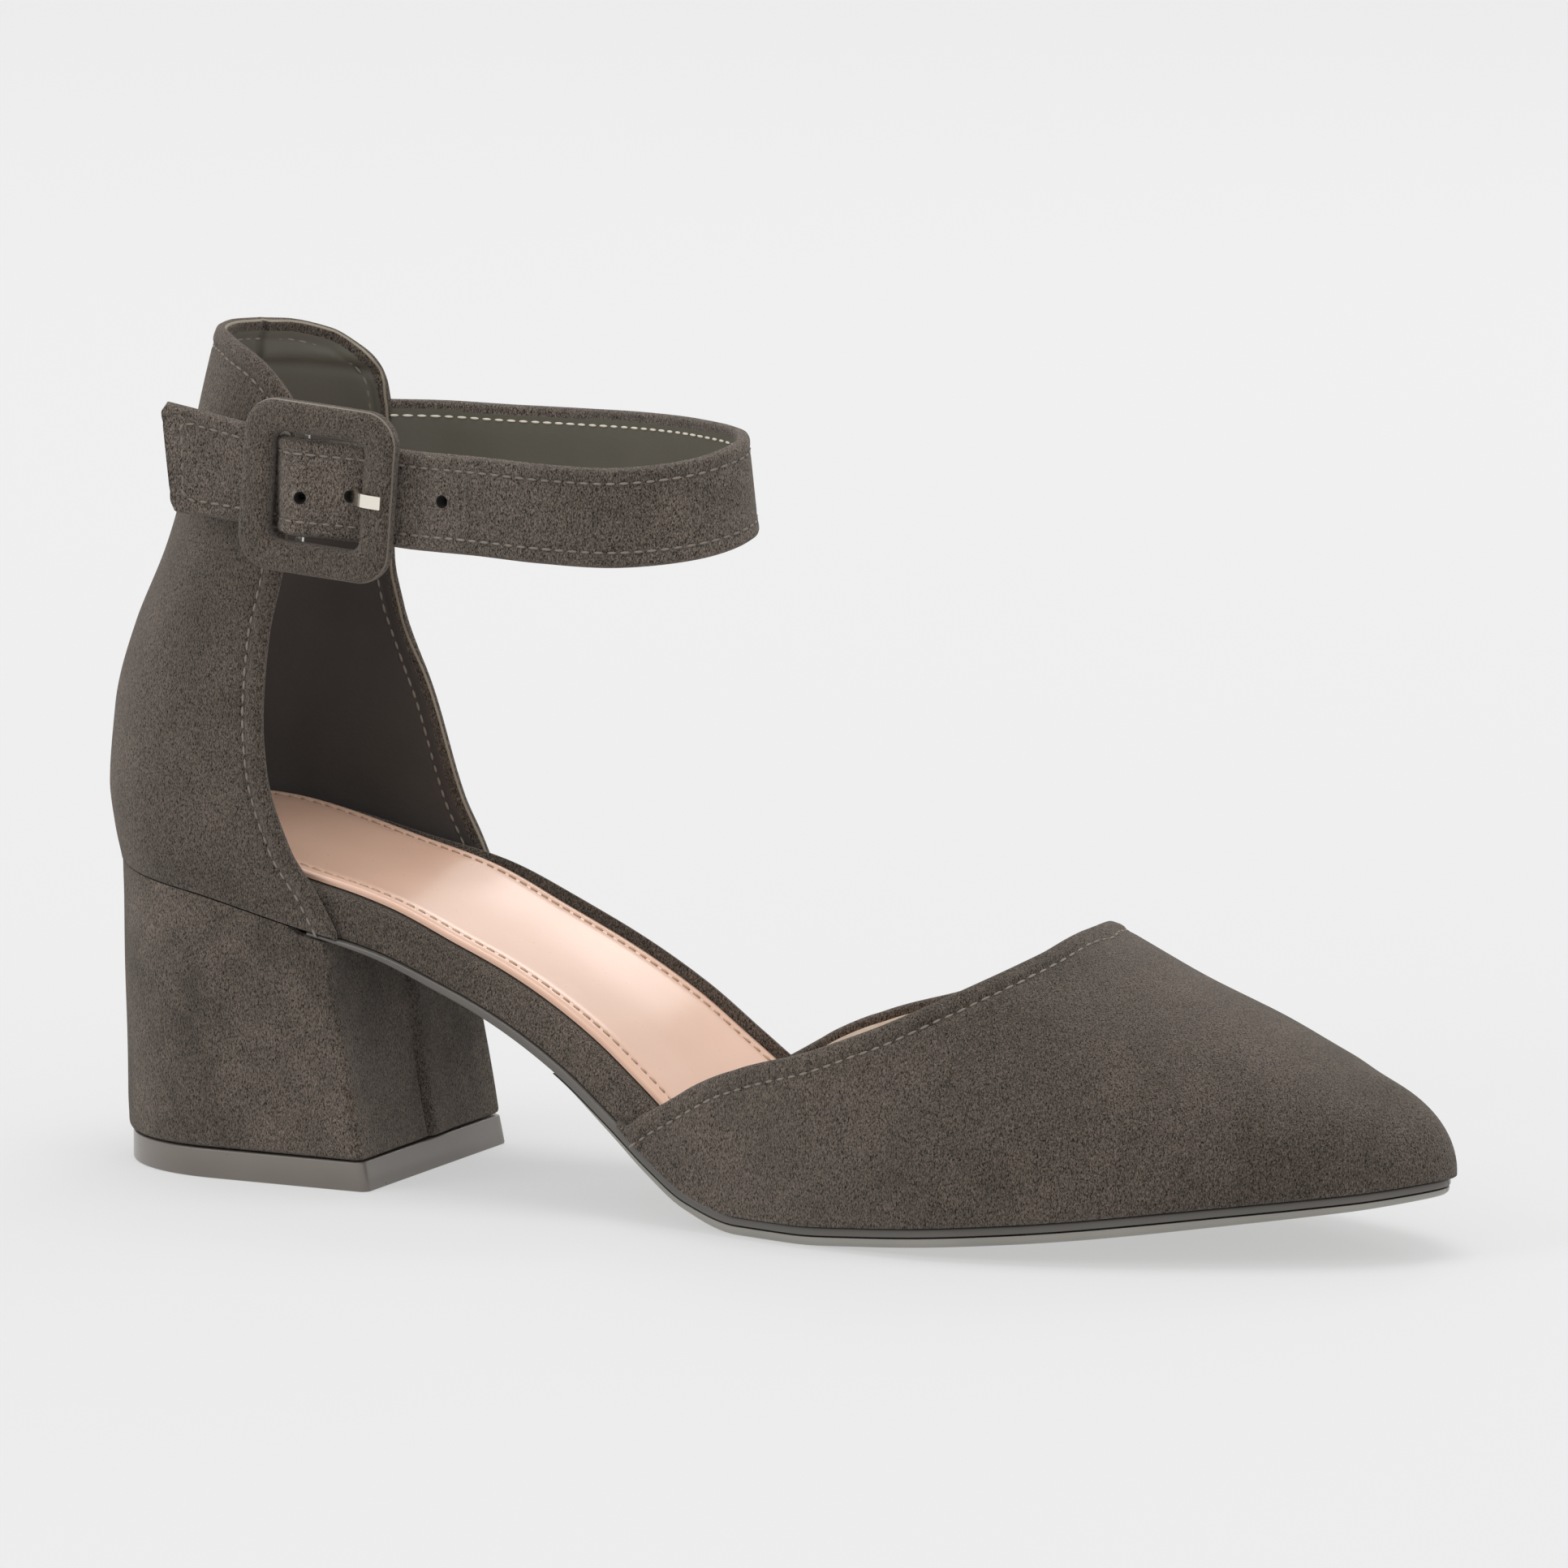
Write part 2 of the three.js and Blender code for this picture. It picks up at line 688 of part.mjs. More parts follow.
// One rib of the vamp, from the feather line up to the ridge, as a curve
function vampRib(side, walk) {
  const foot = overFeather(rim(side, walk, upperOffset(walk)), halfGap);
  const { x } = along(walk);
  const ridgeX = ridgePlace(x);
  const ridgeHeight = (place) => featherHeight(place) + ridgeShare(shareAt(place)) * instepRise;
  const middle = THREE.MathUtils.smoothstep(shareAt(ridgeX), 0.5, 1) * toeTipOffset;
  const crest = new THREE.Vector3(ridgeX, middle, ridgeHeight(ridgeX));
  const share = shareAt(x);
  const out = new THREE.Vector2(foot.x - crest.x, foot.y - crest.y);
  const long = out.length();
  out.divideScalar(long);
  const reach = 1;
  const slope = (ridgeHeight(ridgeX + reach) - ridgeHeight(ridgeX - reach)) / (2 * reach);
  const rise = crest.z - foot.z;
  const bulge = ribBulge(share) * sideBulge;
  const lower = new THREE.Vector3(
    foot.x + out.x * bulge,
    foot.y + out.y * bulge,
    foot.z + ribWall(share) * rise,
  );
  const pull = ribTop(share) * long;
  const upper = new THREE.Vector3(
    crest.x + out.x * pull,
    crest.y + out.y * pull,
    crest.z + Math.min(0, slope * out.x * pull),
  );
  return new THREE.CubicBezierCurve3(foot, lower, upper, crest);
}

function ribEnd(rib, walk) {
  const { x } = along(walk);
  if (x >= placeAt(0) + throatPlace - 1e-3) return 1;
  const target = rib.v0.z + vampEdgeShare(shareAt(x)) * instepRise;
  let low = 0;
  let high = 1;
  for (let i = 0; i < 40; i += 1) {
    const middle = (low + high) / 2;
    if (rib.getPoint(middle).z < target) low = middle;
    else high = middle;
  }
  return (low + high) / 2;
}

function makeVamp() {
  const rear = walkTo(placeAt(0) + vampRearPlace);
  const throat = walkTo(placeAt(0) + throatPlace);
  const stops = [
    ...walks(rear, throat, 16),
    ...walks(throat, 1 - toeTurn, 8).slice(1, -1),
    ...toeWalk,
  ];
  const steps = 10;
  const triangles = [];
  for (const side of [outerSide, innerSide]) {
    const columns = stops.map((walk) => {
      const rib = vampRib(side, walk);
      const end = ribEnd(rib, walk);
      return walks(0, end, steps).map((share) => rib.getPoint(share));
    });
    for (let i = 0; i < columns.length - 1; i += 1) {
      for (let k = 0; k < steps; k += 1) {
        const [a, b] = [columns[i][k], columns[i + 1][k]];
        const [c, d] = [columns[i + 1][k + 1], columns[i][k + 1]];
        triangles.push(...(side === outerSide ? quad(a, b, c, d) : quad(b, a, d, c)));
      }
    }
  }
  return wallFrom(triangles, upperWall);
}

// Heel cup

function cupFront(side, height) {
  const reach = side === outerSide ? outerFront(height) : innerFront(height);
  return placeAt(0) + reach * cupLength;
}

// A point of the heel cup's outside. Turn runs from 0 at the back to 1 at the front edge.
function cupPoint(side, turn, height) {
  const shift = cupBack(height) * cupHeight;
  const walk = walkTo(cupFront(side, height) - shift) * turn;
  const plan = rim(side, walk, upperOffset(walk));
  const foot = overFeather(rim(side, walk, upperOffset(walk)), halfGap);
  const drop = (side === outerSide ? outerTopDrop : innerTopDrop)(turn) * cupHeight;
  const top = seatHeight + cupHeight - drop;
  return new THREE.Vector3(
    plan.x + shift,
    plan.y * cupWidth(height),
    foot.z + (top - foot.z) * height,
  );
}

function cupHeightAt(side, z) {
  let low = 0;
  let high = 1;
  for (let i = 0; i < 40; i += 1) {
    const middle = (low + high) / 2;
    if (cupPoint(side, 1, middle).z < z) low = middle;
    else high = middle;
  }
  return (low + high) / 2;
}

function makeQuarter() {
  const around = 14;
  const levels = [...walks(0, 0.16, 4), ...walks(0.16, 1, 13).slice(1)];
  const triangles = [];
  for (const side of [outerSide, innerSide]) {
    const columns = walks(0, 1, around).map((turn) =>
      levels.map((height) => cupPoint(side, turn, height)),
    );
    for (let i = 0; i < around; i += 1) {
      for (let k = 0; k < levels.length - 1; k += 1) {
        const [a, b] = [columns[i][k], columns[i + 1][k]];
        const [c, d] = [columns[i + 1][k + 1], columns[i][k + 1]];
        triangles.push(...(side === outerSide ? quad(a, b, c, d) : quad(b, a, d, c)));
      }
    }
  }
  return wallFrom(triangles, upperWall);
}

// Heel

// The heel's plan at its base: a D with its straight side at the breast
function heelBasePlan(side, turn, backGrowth, frontGrowth) {
  const back = -heelBaseLength / 2 - backGrowth;
  const front = heelBaseLength / 2 + (side * breastSkew) / 2 + frontGrowth;
  const half = (seatWidth - heelTaper) / 2;
  const round = heelRoundLength + breastCornerRadius;
  const power = 2 / heelRoundPower;
  if (turn < 0.5) {
    const angle = turn * Math.PI;
    return { x: back + round * (1 - Math.cos(angle) ** power), y: side * half * Math.sin(angle) ** power };
  }
  if (turn < 0.85) {
    const share = (turn - 0.5) / 0.35;
    return { x: back + round + share * (front - breastCornerRadius - back - round), y: side * half };
  }
  const angle = ((turn - 0.85) / 0.15) * (Math.PI / 2);
  return {
    x: front - breastCornerRadius * (1 - Math.sin(angle)),
    y: side * (half - breastCornerRadius * (1 - Math.cos(angle))),
  };
}

// The same turn at the top of the heel, under the seat
function heelTopPlan(side, turn) {
  const inset = -0.06 * upperWall;
  if (turn < 0.5) return rim(side, turn * 2 * heelTurn, inset);
  const front = placeAt(0) + breastTopPlace;
  const stations = [
    [0.5, placeAt(0) + heelRoundLength],
    [0.8, placeAt(soleStart) - 2 * soleStepLength],
    [0.82, placeAt(soleStart) - soleStepLength],
    [0.85, front - breastCornerRadius],
  ];
  if (turn < 0.85) {
    const k = turn < 0.8 ? 0 : turn < 0.82 ? 1 : 2;
    const [[start, from], [end, to]] = [stations[k], stations[k + 1]];
    const x = from + ((turn - start) / (end - start)) * (to - from);
    return rim(side, walkTo(x), inset);
  }
  const corner = rim(side, walkTo(stations[3][1]), inset);
  const angle = ((turn - 0.85) / 0.15) * (Math.PI / 2);
  return {
    x: corner.x + (breastCornerRadius + (side * breastSkew) / 2) * Math.sin(angle),
    y: corner.y - side * breastCornerRadius * (1 - Math.cos(angle)),
  };
}

function heelTopHeight(x) {
  const end = placeAt(soleStart) - soleStepLength;
  const underSole = THREE.MathUtils.smoothstep(x, end - soleStepLength, end);
  const sole = soleBandThickness * bandShare(shareAt(x)) + clearance;
  return -halfGap - underSole * sole;
}

function makeHeel() {
  const levels = [0, 0.3, 0.65, 1];
  const base = topPieceThickness + clearance;
  const column = (side, turn) => {
    const low = heelBasePlan(side, turn, heelBackOverhang, -topPieceFlare);
    const top = heelTopPlan(side, turn);
    const roof = overFeather(top, heelTopHeight(top.x));
    const floor = new THREE.Vector3(low.x, low.y, base);
    return levels.map((level) => floor.clone().lerp(roof, level));
  };
  const turns = [...walks(0, 0.5, 8), 0.58, 0.65, 0.73, 0.8, 0.82, ...walks(0.85, 1, 4)];
  const rings = turns.map((turn) => {
    const outer = column(outerSide, turn);
    const inner = column(innerSide, turn);
    return [...outer, ...inner.reverse()];
  });
  return loft(rings, { capFirst: false });
}

function makeTopPiece() {
  const turns = [...walks(0, 0.5, 8), ...walks(0.5, 0.85, 2).slice(1), ...walks(0.85, 1, 4).slice(1)];
  const rings = turns.map((turn) => {
    const column = (side) => {
      const low = heelBasePlan(side, turn, 0, 0);
      const top = heelBasePlan(side, turn, 0, -topPieceFlare);
      return [
        new THREE.Vector3(low.x, low.y, 0),
        new THREE.Vector3(top.x, top.y, topPieceThickness),
      ];
    };
    return [...column(outerSide), ...column(innerSide).reverse()];
  });
  return loft(rings, { capFirst: false });
}

// Buckle and strap

// The buckle's own axes: along the strap towards the toe, out from the foot, and up
const strapSlope = Math.atan(strapDrop);
const cupAtBuckle = cupPoint(outerSide, 1, cupHeightAt(outerSide, strapHeight));
const cupSurface = -cupAtBuckle.y;
const barRadius = barDiameter / 2;
const chapeInside = cupSurface + chapeStandoff;
const strapUnderRail = chapeInside + chapeThickness + clearance + strapThickness / 2;
const frameInside = strapUnderRail + strapThickness / 2 + clearance + frameStandoff;
const barOut = frameInside - clearance - barRadius;
const chapeLoopRadius = barRadius + clearance + chapeThickness;
const strapOverBar = barOut + chapeLoopRadius + clearance + strapThickness / 2;

function buckleSpace(alongStrap, out, up) {
  const cos = Math.cos(strapSlope);
  const sin = Math.sin(strapSlope);
  return new THREE.Vector3(
    buckleCentreX + alongStrap * cos + up * sin,
    -out,
    strapHeight - alongStrap * sin + up * cos,
  );
}

const railPlace = (buckleWidth + windowWidth) / 4;

function routePoint({ rail, bar, along: shift, lift }, under, over) {
  return [
    rail * railPlace - bar * barPlace + shift * strapThickness,
    THREE.MathUtils.lerp(under, over, lift),
  ];
}

// Centre line of the strap with its lean, from the cup's inner edge round to the tail
function strapStops() {
  const innerHeight = cupHeightAt(innerSide, strapHeight);
  const edge = cupPoint(innerSide, 1, innerHeight);
  const start = new THREE.Vector3(edge.x + 2 * clearance, edge.y - upperWall / 2, strapHeight);
  const free = loopRows.map(({ reach, side, rise, lean }) => ({
    point: new THREE.Vector3(
      reach * strapReach,
      side * strapSpan,
      strapHeight + rise * strapWidth,
    ),
    lean,
    tail: 0,
  }));
  const inBuckle = buckleRouteRows.map((row) => {
    const [alongStrap, out] = routePoint(row, strapUnderRail, strapOverBar);
    return { point: buckleSpace(alongStrap, out, row.tail * strapTailRise), lean: 0, tail: row.tail };
  });
  const end = buckleSpace(-strapTailLength, strapUnderRail + clearance, strapTailRise);
  return [{ point: start, lean: 0, tail: 0 }, ...free, ...inBuckle, { point: end, lean: 0, tail: 1 }];
}

function makeStrap() {
  const stops = strapStops();
  const path = new THREE.CatmullRomCurve3(stops.map((stop) => stop.point), false, "centripetal");
  const half = strapThickness / 2;
  const section = [
    [-half, -0.94],
    [-0.4 * half, -1],
    [0.4 * half, -1],
    [half, -0.94],
    [half, 0],
    [half, 0.94],
    [0.4 * half, 1],
    [-0.4 * half, 1],
    [-half, 0.94],
    [-half, 0],
  ];
  const places = [];
  const last = stops.length - 1;
  for (let k = 0; k < last; k += 1) {
    const long = stops[k].point.distanceTo(stops[k + 1].point);
    const inBuckle = k > loopRows.length && k < last - 2;
    const count = Math.max(1, Math.round(long / (inBuckle ? 1.2 : 5)));
    places.push(...walks(k, k + 1, count).slice(0, -1));
  }
  places.push(last);
  const rings = places.map((place) => {
    const point = path.getPoint(place / last);
    const tangent = path.getTangent(place / last);
    const k = Math.min(Math.floor(place), last - 1);
    const share = (key) => THREE.MathUtils.lerp(stops[k][key], stops[k + 1][key], place - k);
    const width = strapWidth + share("tail") * strapTailFlare;
    const slant = Math.max(0, place - last + 1) * strapTailSlant;
    const outwards = new THREE.Vector3(-tangent.y, tangent.x, 0).normalize();
    const up = new THREE.Vector3(0, 0, 1)
      .addScaledVector(outwards, (-share("lean") * strapLean) / strapWidth)
      .addScaledVector(tangent, -tangent.z)
      .normalize();
    const thick = new THREE.Vector3().crossVectors(up, tangent).normalize();
    return section.map(([out, rise]) =>
      point
        .clone()
        .addScaledVector(thick, out)
        .addScaledVector(up, (rise * width) / 2)
        .addScaledVector(tangent, (rise * slant) / 2),
    );
  });
  return loft(rings);
}

function roundedSquare(width, height, radius, share) {
  const corner = Math.PI / 2;
  const turn = share * 4;
  const k = Math.floor(turn) % 4;
  const part = turn - Math.floor(turn);
  const centres = [
    [1, 1],
    [-1, 1],
    [-1, -1],
    [1, -1],
  ];
  const [cx, cy] = centres[k];
  const straightShare = 0.3;
  const centre = new THREE.Vector2(cx * (width / 2 - radius), cy * (height / 2 - radius));
  const angle = k * corner + Math.min(part / (1 - straightShare), 1) * corner;
  const spoke = new THREE.Vector2(Math.cos(angle), Math.sin(angle)).multiplyScalar(radius);
  const point = centre.clone().add(spoke);
  if (part <= 1 - straightShare) return point;
  const [nx, ny] = centres[(k + 1) % 4];
  const nextCentre = new THREE.Vector2(nx * (width / 2 - radius), ny * (height / 2 - radius));
  return point.lerp(nextCentre.add(spoke), (part - (1 - straightShare)) / straightShare);
}

function makeFrame() {
  const around = 40;
  const sides = 10;
  const rings = walks(0, 1, around)
    .slice(0, -1)
    .map((share) => {
      const outer = roundedSquare(buckleWidth, buckleHeight, buckleCornerRadius, share);
      const inner = roundedSquare(windowWidth, windowHeight, windowCornerRadius, share);
      const middle = outer.clone().add(inner).divideScalar(2);
      const half = outer.clone().sub(inner).divideScalar(2);
      return walks(0, 1, sides)
        .slice(0, -1)
        .map((turn) => {
          const angle = turn * 2 * Math.PI;
          const square = (value) => Math.sign(value) * Math.abs(value) ** frameSquareness;
          const place = middle.clone().addScaledVector(half, square(Math.cos(angle)));
          const out = frameInside + (framePadding / 2) * (1 + square(Math.sin(angle)));
          return buckleSpace(place.x, out, place.y);
        });
    });
  return loft(rings, { loop: true });
}

function makeBar() {
  const reach = (windowHeight + buckleHeight) / 4;
  const rings = [-reach, reach].map((up) =>
    walks(0, 1, 12)
      .slice(0, -1)
      .map((turn) => {
        const angle = turn * 2 * Math.PI;
        const alongStrap = -barPlace + barRadius * Math.cos(angle);
        return buckleSpace(alongStrap, barOut + barRadius * Math.sin(angle), up);
      }),
  );
  return loft(rings);
}

// The prong: an eye round the bar, and a flat tongue through the strap and over the frame
function makeProng() {
  const wire = prongThickness / 2;
  const eye = new THREE.TorusGeometry(barRadius + clearance + wire, wire, 8, 20);
  eye.rotateY(strapSlope);
  const centre = buckleSpace(-barPlace, barOut, -prongPlace);
  eye.translate(centre.x, centre.y, centre.z);
  const over = frameInside + framePadding + clearance + wire;
  const route = prongRouteRows.map((row) => routePoint(row, strapUnderRail, over));
  const path = new THREE.SplineCurve(route.map(([x, y]) => new THREE.Vector2(x, y)));
  const rings = walks(0, 1, 26).map((share) => {
    const point = path.getPoint(share);
    const tangent = path.getTangent(share);
    const half = prongWidth / 2;
    return [
      [-wire, -half],
      [wire, -half],
      [wire, half],
      [-wire, half],
    ].map(([side, up]) =>
      buckleSpace(point.x - tangent.y * side, point.y + tangent.x * side, up - prongPlace),
    );
  });
  return toGeometry(toSolid(eye).add(toSolid(loft(rings))));
}

function slotCutter(alongStrap, out, up, length, depth, height) {
  const box = new THREE.BoxGeometry(length, depth, height);
  box.rotateY(strapSlope);
  const centre = buckleSpace(alongStrap, out, up);
  box.translate(centre.x, centre.y, centre.z);
  return toSolid(box);
}

function makeChape() {
  const inside = chapeInside;
  const outside = inside + chapeThickness;
  const rear = -barPlace - chapeLength;
  const reach = chapeLoopRadius;
  const hole = barRadius + clearance;
  const band = new THREE.Shape();
  band.moveTo(rear, -inside);
  band.lineTo(-barPlace - reach, -inside);
  band.lineTo(-barPlace, -(barOut - reach));
  band.absarc(-barPlace, -barOut, reach, Math.PI / 2, -Math.PI, true);
  band.lineTo(-barPlace - reach, -outside - 0.2);
  band.lineTo(rear, -outside);
  band.closePath();
  const bore = new THREE.Path();
  bore.absarc(-barPlace, -barOut, hole, 0, 2 * Math.PI, false);
  band.holes.push(bore);
  const blank = new THREE.ExtrudeGeometry(band, {
    depth: chapeWidth,
    bevelEnabled: false,
    curveSegments: 12,
  });
  blank.translate(0, 0, -chapeWidth / 2);
  blank.rotateY(strapSlope);
  blank.translate(buckleCentreX, 0, strapHeight);
  const slotLength = 3 * chapeLoopRadius;
  const slotHeight = prongWidth + 2 * clearance;
  const slot = slotCutter(
    -barPlace + 0.4 * chapeLoopRadius,
    barOut,
    -prongPlace,
    slotLength,
    6 * chapeLoopRadius,
    slotHeight,
  );
  return toGeometry(toSolid(blank).subtract(slot));
}

// The strap with the hole that the prong passes through
function makePunchedStrap() {
  const place = railPlace - 3 * strapThickness;
  const length = 2 * strapThickness;
  const depth = 4 * strapThickness;
  const height = prongWidth + 2 * clearance;
  const hole = slotCutter(place, strapUnderRail + clearance, -prongPlace, length, depth, height);
  return toGeometry(toSolid(makeStrap()).subtract(hole));
}

// Materials
const coverColour = 0x5a4f49;
function finish(color, roughness, metalness = 0) {
  return new THREE.MeshStandardMaterial({ color, roughness, metalness });
}

const pieces = [
  ["outsole", makeOutsole(), finish(0x4a4744, 0.55)],
  ["outsole_tread", makeTread(), finish(0x8b8680, 0.45)],
  ["heel_block", makeHeel(), finish(coverColour, 0.95)],
  ["heel_top_piece", makeTopPiece(), finish(0x6e6862, 0.35)],
  ["footbed", makeBoard(), finish(coverColour, 0.95)],
  ["sock_lining", makeSock(), finish(0xe3bfa9, 0.25)],
  ["vamp", makeVamp(), finish(coverColour, 0.95)],
  ["quarter", makeQuarter(), finish(coverColour, 0.95)],
  ["ankle_strap", makePunchedStrap(), finish(coverColour, 0.95)],
  ["buckle_frame", makeFrame(), finish(coverColour, 0.95)],
  ["buckle_bar", makeBar(), finish(0xc9c4ba, 0.3, 1)],
  ["buckle_prong", makeProng(), finish(0xd8d2c4, 0.25, 1)],
  ["buckle_chape", makeChape(), finish(coverColour, 0.95)],
];

const shoe = new THREE.Group();
for (const [name, geometry, material] of pieces) {
  const mesh = new THREE.Mesh(geometry, material);
  mesh.name = name;
  shoe.add(mesh);
}

export default shoe;
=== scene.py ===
"""Look of an open-sided pump: suede-look upper, linings, glossy sock, two-tone sole and covered buckle."""

from __future__ import annotations

import logging
import math
from dataclasses import dataclass
from enum import Enum
from typing import Callable, Iterable, Sequence

import bpy
import numpy as np
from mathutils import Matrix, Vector
from mathutils.bvhtree import BVHTree
from mathutils.kdtree import KDTree


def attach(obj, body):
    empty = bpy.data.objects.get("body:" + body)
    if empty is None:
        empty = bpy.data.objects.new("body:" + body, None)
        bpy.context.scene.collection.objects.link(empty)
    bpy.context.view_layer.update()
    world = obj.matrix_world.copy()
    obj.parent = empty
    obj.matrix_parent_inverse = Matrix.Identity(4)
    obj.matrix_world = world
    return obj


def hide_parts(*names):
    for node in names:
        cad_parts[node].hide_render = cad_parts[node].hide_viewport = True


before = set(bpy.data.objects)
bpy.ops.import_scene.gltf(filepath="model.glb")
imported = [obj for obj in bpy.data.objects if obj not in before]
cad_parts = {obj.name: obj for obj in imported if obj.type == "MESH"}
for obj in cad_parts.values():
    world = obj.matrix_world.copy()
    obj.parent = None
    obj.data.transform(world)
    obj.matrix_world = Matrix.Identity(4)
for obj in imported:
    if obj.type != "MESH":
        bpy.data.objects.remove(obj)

LOG = logging.getLogger("pump")
BODY = "root"
# A millimetre in metres. The lengths below are in millimetres, as is the whole form until a mesh is made.
MM = 0.001
STITCH_INSET = 2.7
LINING_INSET = 2.8
STITCH_PITCH = 2.3
THREAD_LIFT = 0.02
Array = np.ndarray
Colour = tuple[float, float, float]


class Side(Enum):
    """Side of the foot; the value is the sign of Y."""

    OUTER = -1
    INNER = 1


# Tables of the form. The first column is a place or height as a share, the others are shares too.
PROFILE = (
    (0.0, 1.0, 0.0), (0.09, 0.948, 0.0), (0.18, 0.848, 0.0), (0.24, 0.782, 0.0), (0.29, 0.687, 0.0),
    (0.34, 0.573, 0.0), (0.39, 0.427, 0.0), (0.43, 0.276, 0.0), (0.465, 0.14, 0.0), (0.495, 0.05, 0.0),
    (0.535, 0.0, 0.0), (0.58, 0.0, 0.0), (0.63, 0.0, 0.07), (0.7, 0.0, 0.21), (0.78, 0.0, 0.4),
    (0.86, 0.0, 0.62), (0.94, 0.0, 0.82), (1.0, 0.0, 0.98),
)
OUTLINE = (
    (0.0, 52.2, 0.383, 0.383), (0.06, 52.2, 0.471, 0.471), (0.13, 52.2, 0.502, 0.498),
    (0.22, 52.2, 0.498, 0.479), (0.32, 47.2, 0.521, 0.479), (0.42, 47.2, 0.564, 0.496),
    (0.52, 72.0, 0.436, 0.389), (0.6, 72.0, 0.486, 0.458), (0.67, 72.0, 0.497, 0.503),
    (0.74, 72.0, 0.464, 0.508), (0.82, 72.0, 0.375, 0.458), (0.9, 72.0, 0.247, 0.353),
    (0.96, 72.0, 0.133, 0.25), (1.0, 72.0, 0.05, 0.167),
)
EDGE = ((0.0, 0.06, -0.18), (0.2, 0.12, -0.12), (0.3, 0.82, 0.0), (0.45, 0.94, 0.18), (1.0, 0.94, 0.24))
LAYERS = (
    (0.0, 0.35, 0.3, 1.25, 0.0), (0.2, 0.45, 0.3, 1.15, 0.6), (0.3, 0.9, 0.3, 1.0, 1.0),
    (0.4, 1.0, 0.35, 1.0, 1.0), (0.48, 1.0, 0.7, 1.0, 1.0), (0.53, 1.0, 1.0, 0.95, 0.6),
    (0.6, 1.0, 1.0, 0.8, 0.0), (0.8, 1.0, 1.0, 0.6, 0.0), (1.0, 0.9, 0.7, 0.5, 0.0),
)
VAMP = (
    (0.42, 2.9, 0.004), (0.438, 2.85, 0.012), (0.46, 2.8, 0.16), (0.5, 2.7, 0.42), (0.53, 2.5, 0.54),
    (0.593, 1.75, 0.652), (0.646, 1.4, 0.752), (0.692, 1.18, 0.857), (0.731, 1.05, 0.952),
    (0.748, 0.995, 1.0), (0.804, 0.815, 1.0), (0.867, 0.638, 1.0), (0.914, 0.497, 1.0),
    (0.946, 0.413, 1.0), (1.0, 0.42, 1.0),
)
RIBS = ((0.42, 0.45, 0.5, 0.2), (0.6, 0.52, 0.55, 0.5), (0.75, 0.52, 0.56, 0.9), (0.9, 0.55, 0.56, 0.8),
        (1.0, 0.52, 0.52, 0.1))
CUP = (
    (0.0, 0.0, 1.0), (0.066, -0.013, 1.02), (0.143, -0.022, 1.035), (0.284, -0.01, 1.035),
    (0.441, 0.035, 1.02), (0.6, 0.102, 0.985), (0.66, 0.122, 0.97), (0.86, 0.167, 0.935),
    (1.0, 0.203, 0.92),
)
OUTER_FRONT = ((0.0, 1.0), (0.072, 0.93), (0.148, 0.835), (0.283, 0.75), (0.389, 0.735), (0.542, 0.752),
               (0.695, 0.8), (1.0, 0.835))
INNER_FRONT = ((0.0, 1.156), (0.132, 1.045), (0.2, 0.983), (0.39, 0.874), (0.566, 0.763), (0.68, 0.737),
               (1.0, 0.75))
TOP_EDGE = ((0.0, 0.0, 0.0), (0.45, 0.002, 0.01), (0.7, 0.02, 0.032), (0.83, 0.041, 0.06),
            (0.915, 0.068, 0.085), (0.98, 0.1, 0.13), (1.0, 0.12, 0.172))
LOOP = (
    (0.19, 0.484, 0.0, 0.0), (0.33, 0.482, 0.0, 0.0), (0.48, 0.452, 0.02, 0.1), (0.66, 0.366, 0.06, 0.3),
    (0.83, 0.205, 0.1, 0.7), (0.96, 0.03, 0.1, 1.0), (0.998, -0.13, 0.04, 1.0), (0.955, -0.3, -0.07, 0.8),
    (0.83, -0.44, -0.15, 0.4), (0.69, -0.505, -0.13, 0.1), (0.56, -0.523, -0.09, 0.0),
)
BUCKLE_ROUTE = (
    (1, 0, 2.05, 0.0, 0.0), (1, 0, -0.23, 0.05, 0.0), (1, 0, -2.05, 0.22, 0.0), (0, 1, 1.55, 0.76, 0.0),
    (0, 1, 0.55, 0.976, 0.0), (0, 1, -0.36, 1.0, 0.0), (0, 1, -1.23, 0.7, 0.0), (0, 1, -1.95, 0.1, 0.0),
    (-1, 0, 0.27, 0.02, 0.0), (-1, 0, -1.55, 0.0, 0.1), (-1, 0, -5.0, -0.02, 0.5),
)
# Edges in section, in millimetres: sock (in from its edge, height as a share), heel tip (height, growth), hole (height,
# radius), and the strap's stops in from its edge on the outside and on the lining.
SOCK_HEM = ((1.2, 0.99), (1.8, 1.0), (2.3, 0.84), (2.7, 0.72), (3.1, 0.82), (3.8, 0.9))
TIP_EDGE = ((0.0, -0.35), (0.12, -0.1), (0.35, 0.0), (4.9, 0.0), (5.1, -0.08), (5.2, -0.3))
HOLE_EDGE = ((-0.75, 0.5), (-0.6, 0.75), (0.1, 0.9), (0.7, 0.95), (1.15, 1.15), (2.6, 1.4))
STRAP_OUTSIDE = (0.0, 0.5, 0.8, 0.9, 1.2, 1.8, 2.2, 2.5, 2.75, 3.0, 3.4, 4.2, 5.6, 7.2)
STRAP_INSIDE = (0.15, 0.45, 0.9, 1.5, 1.8, 2.4, 2.8, 3.2, 5.5)


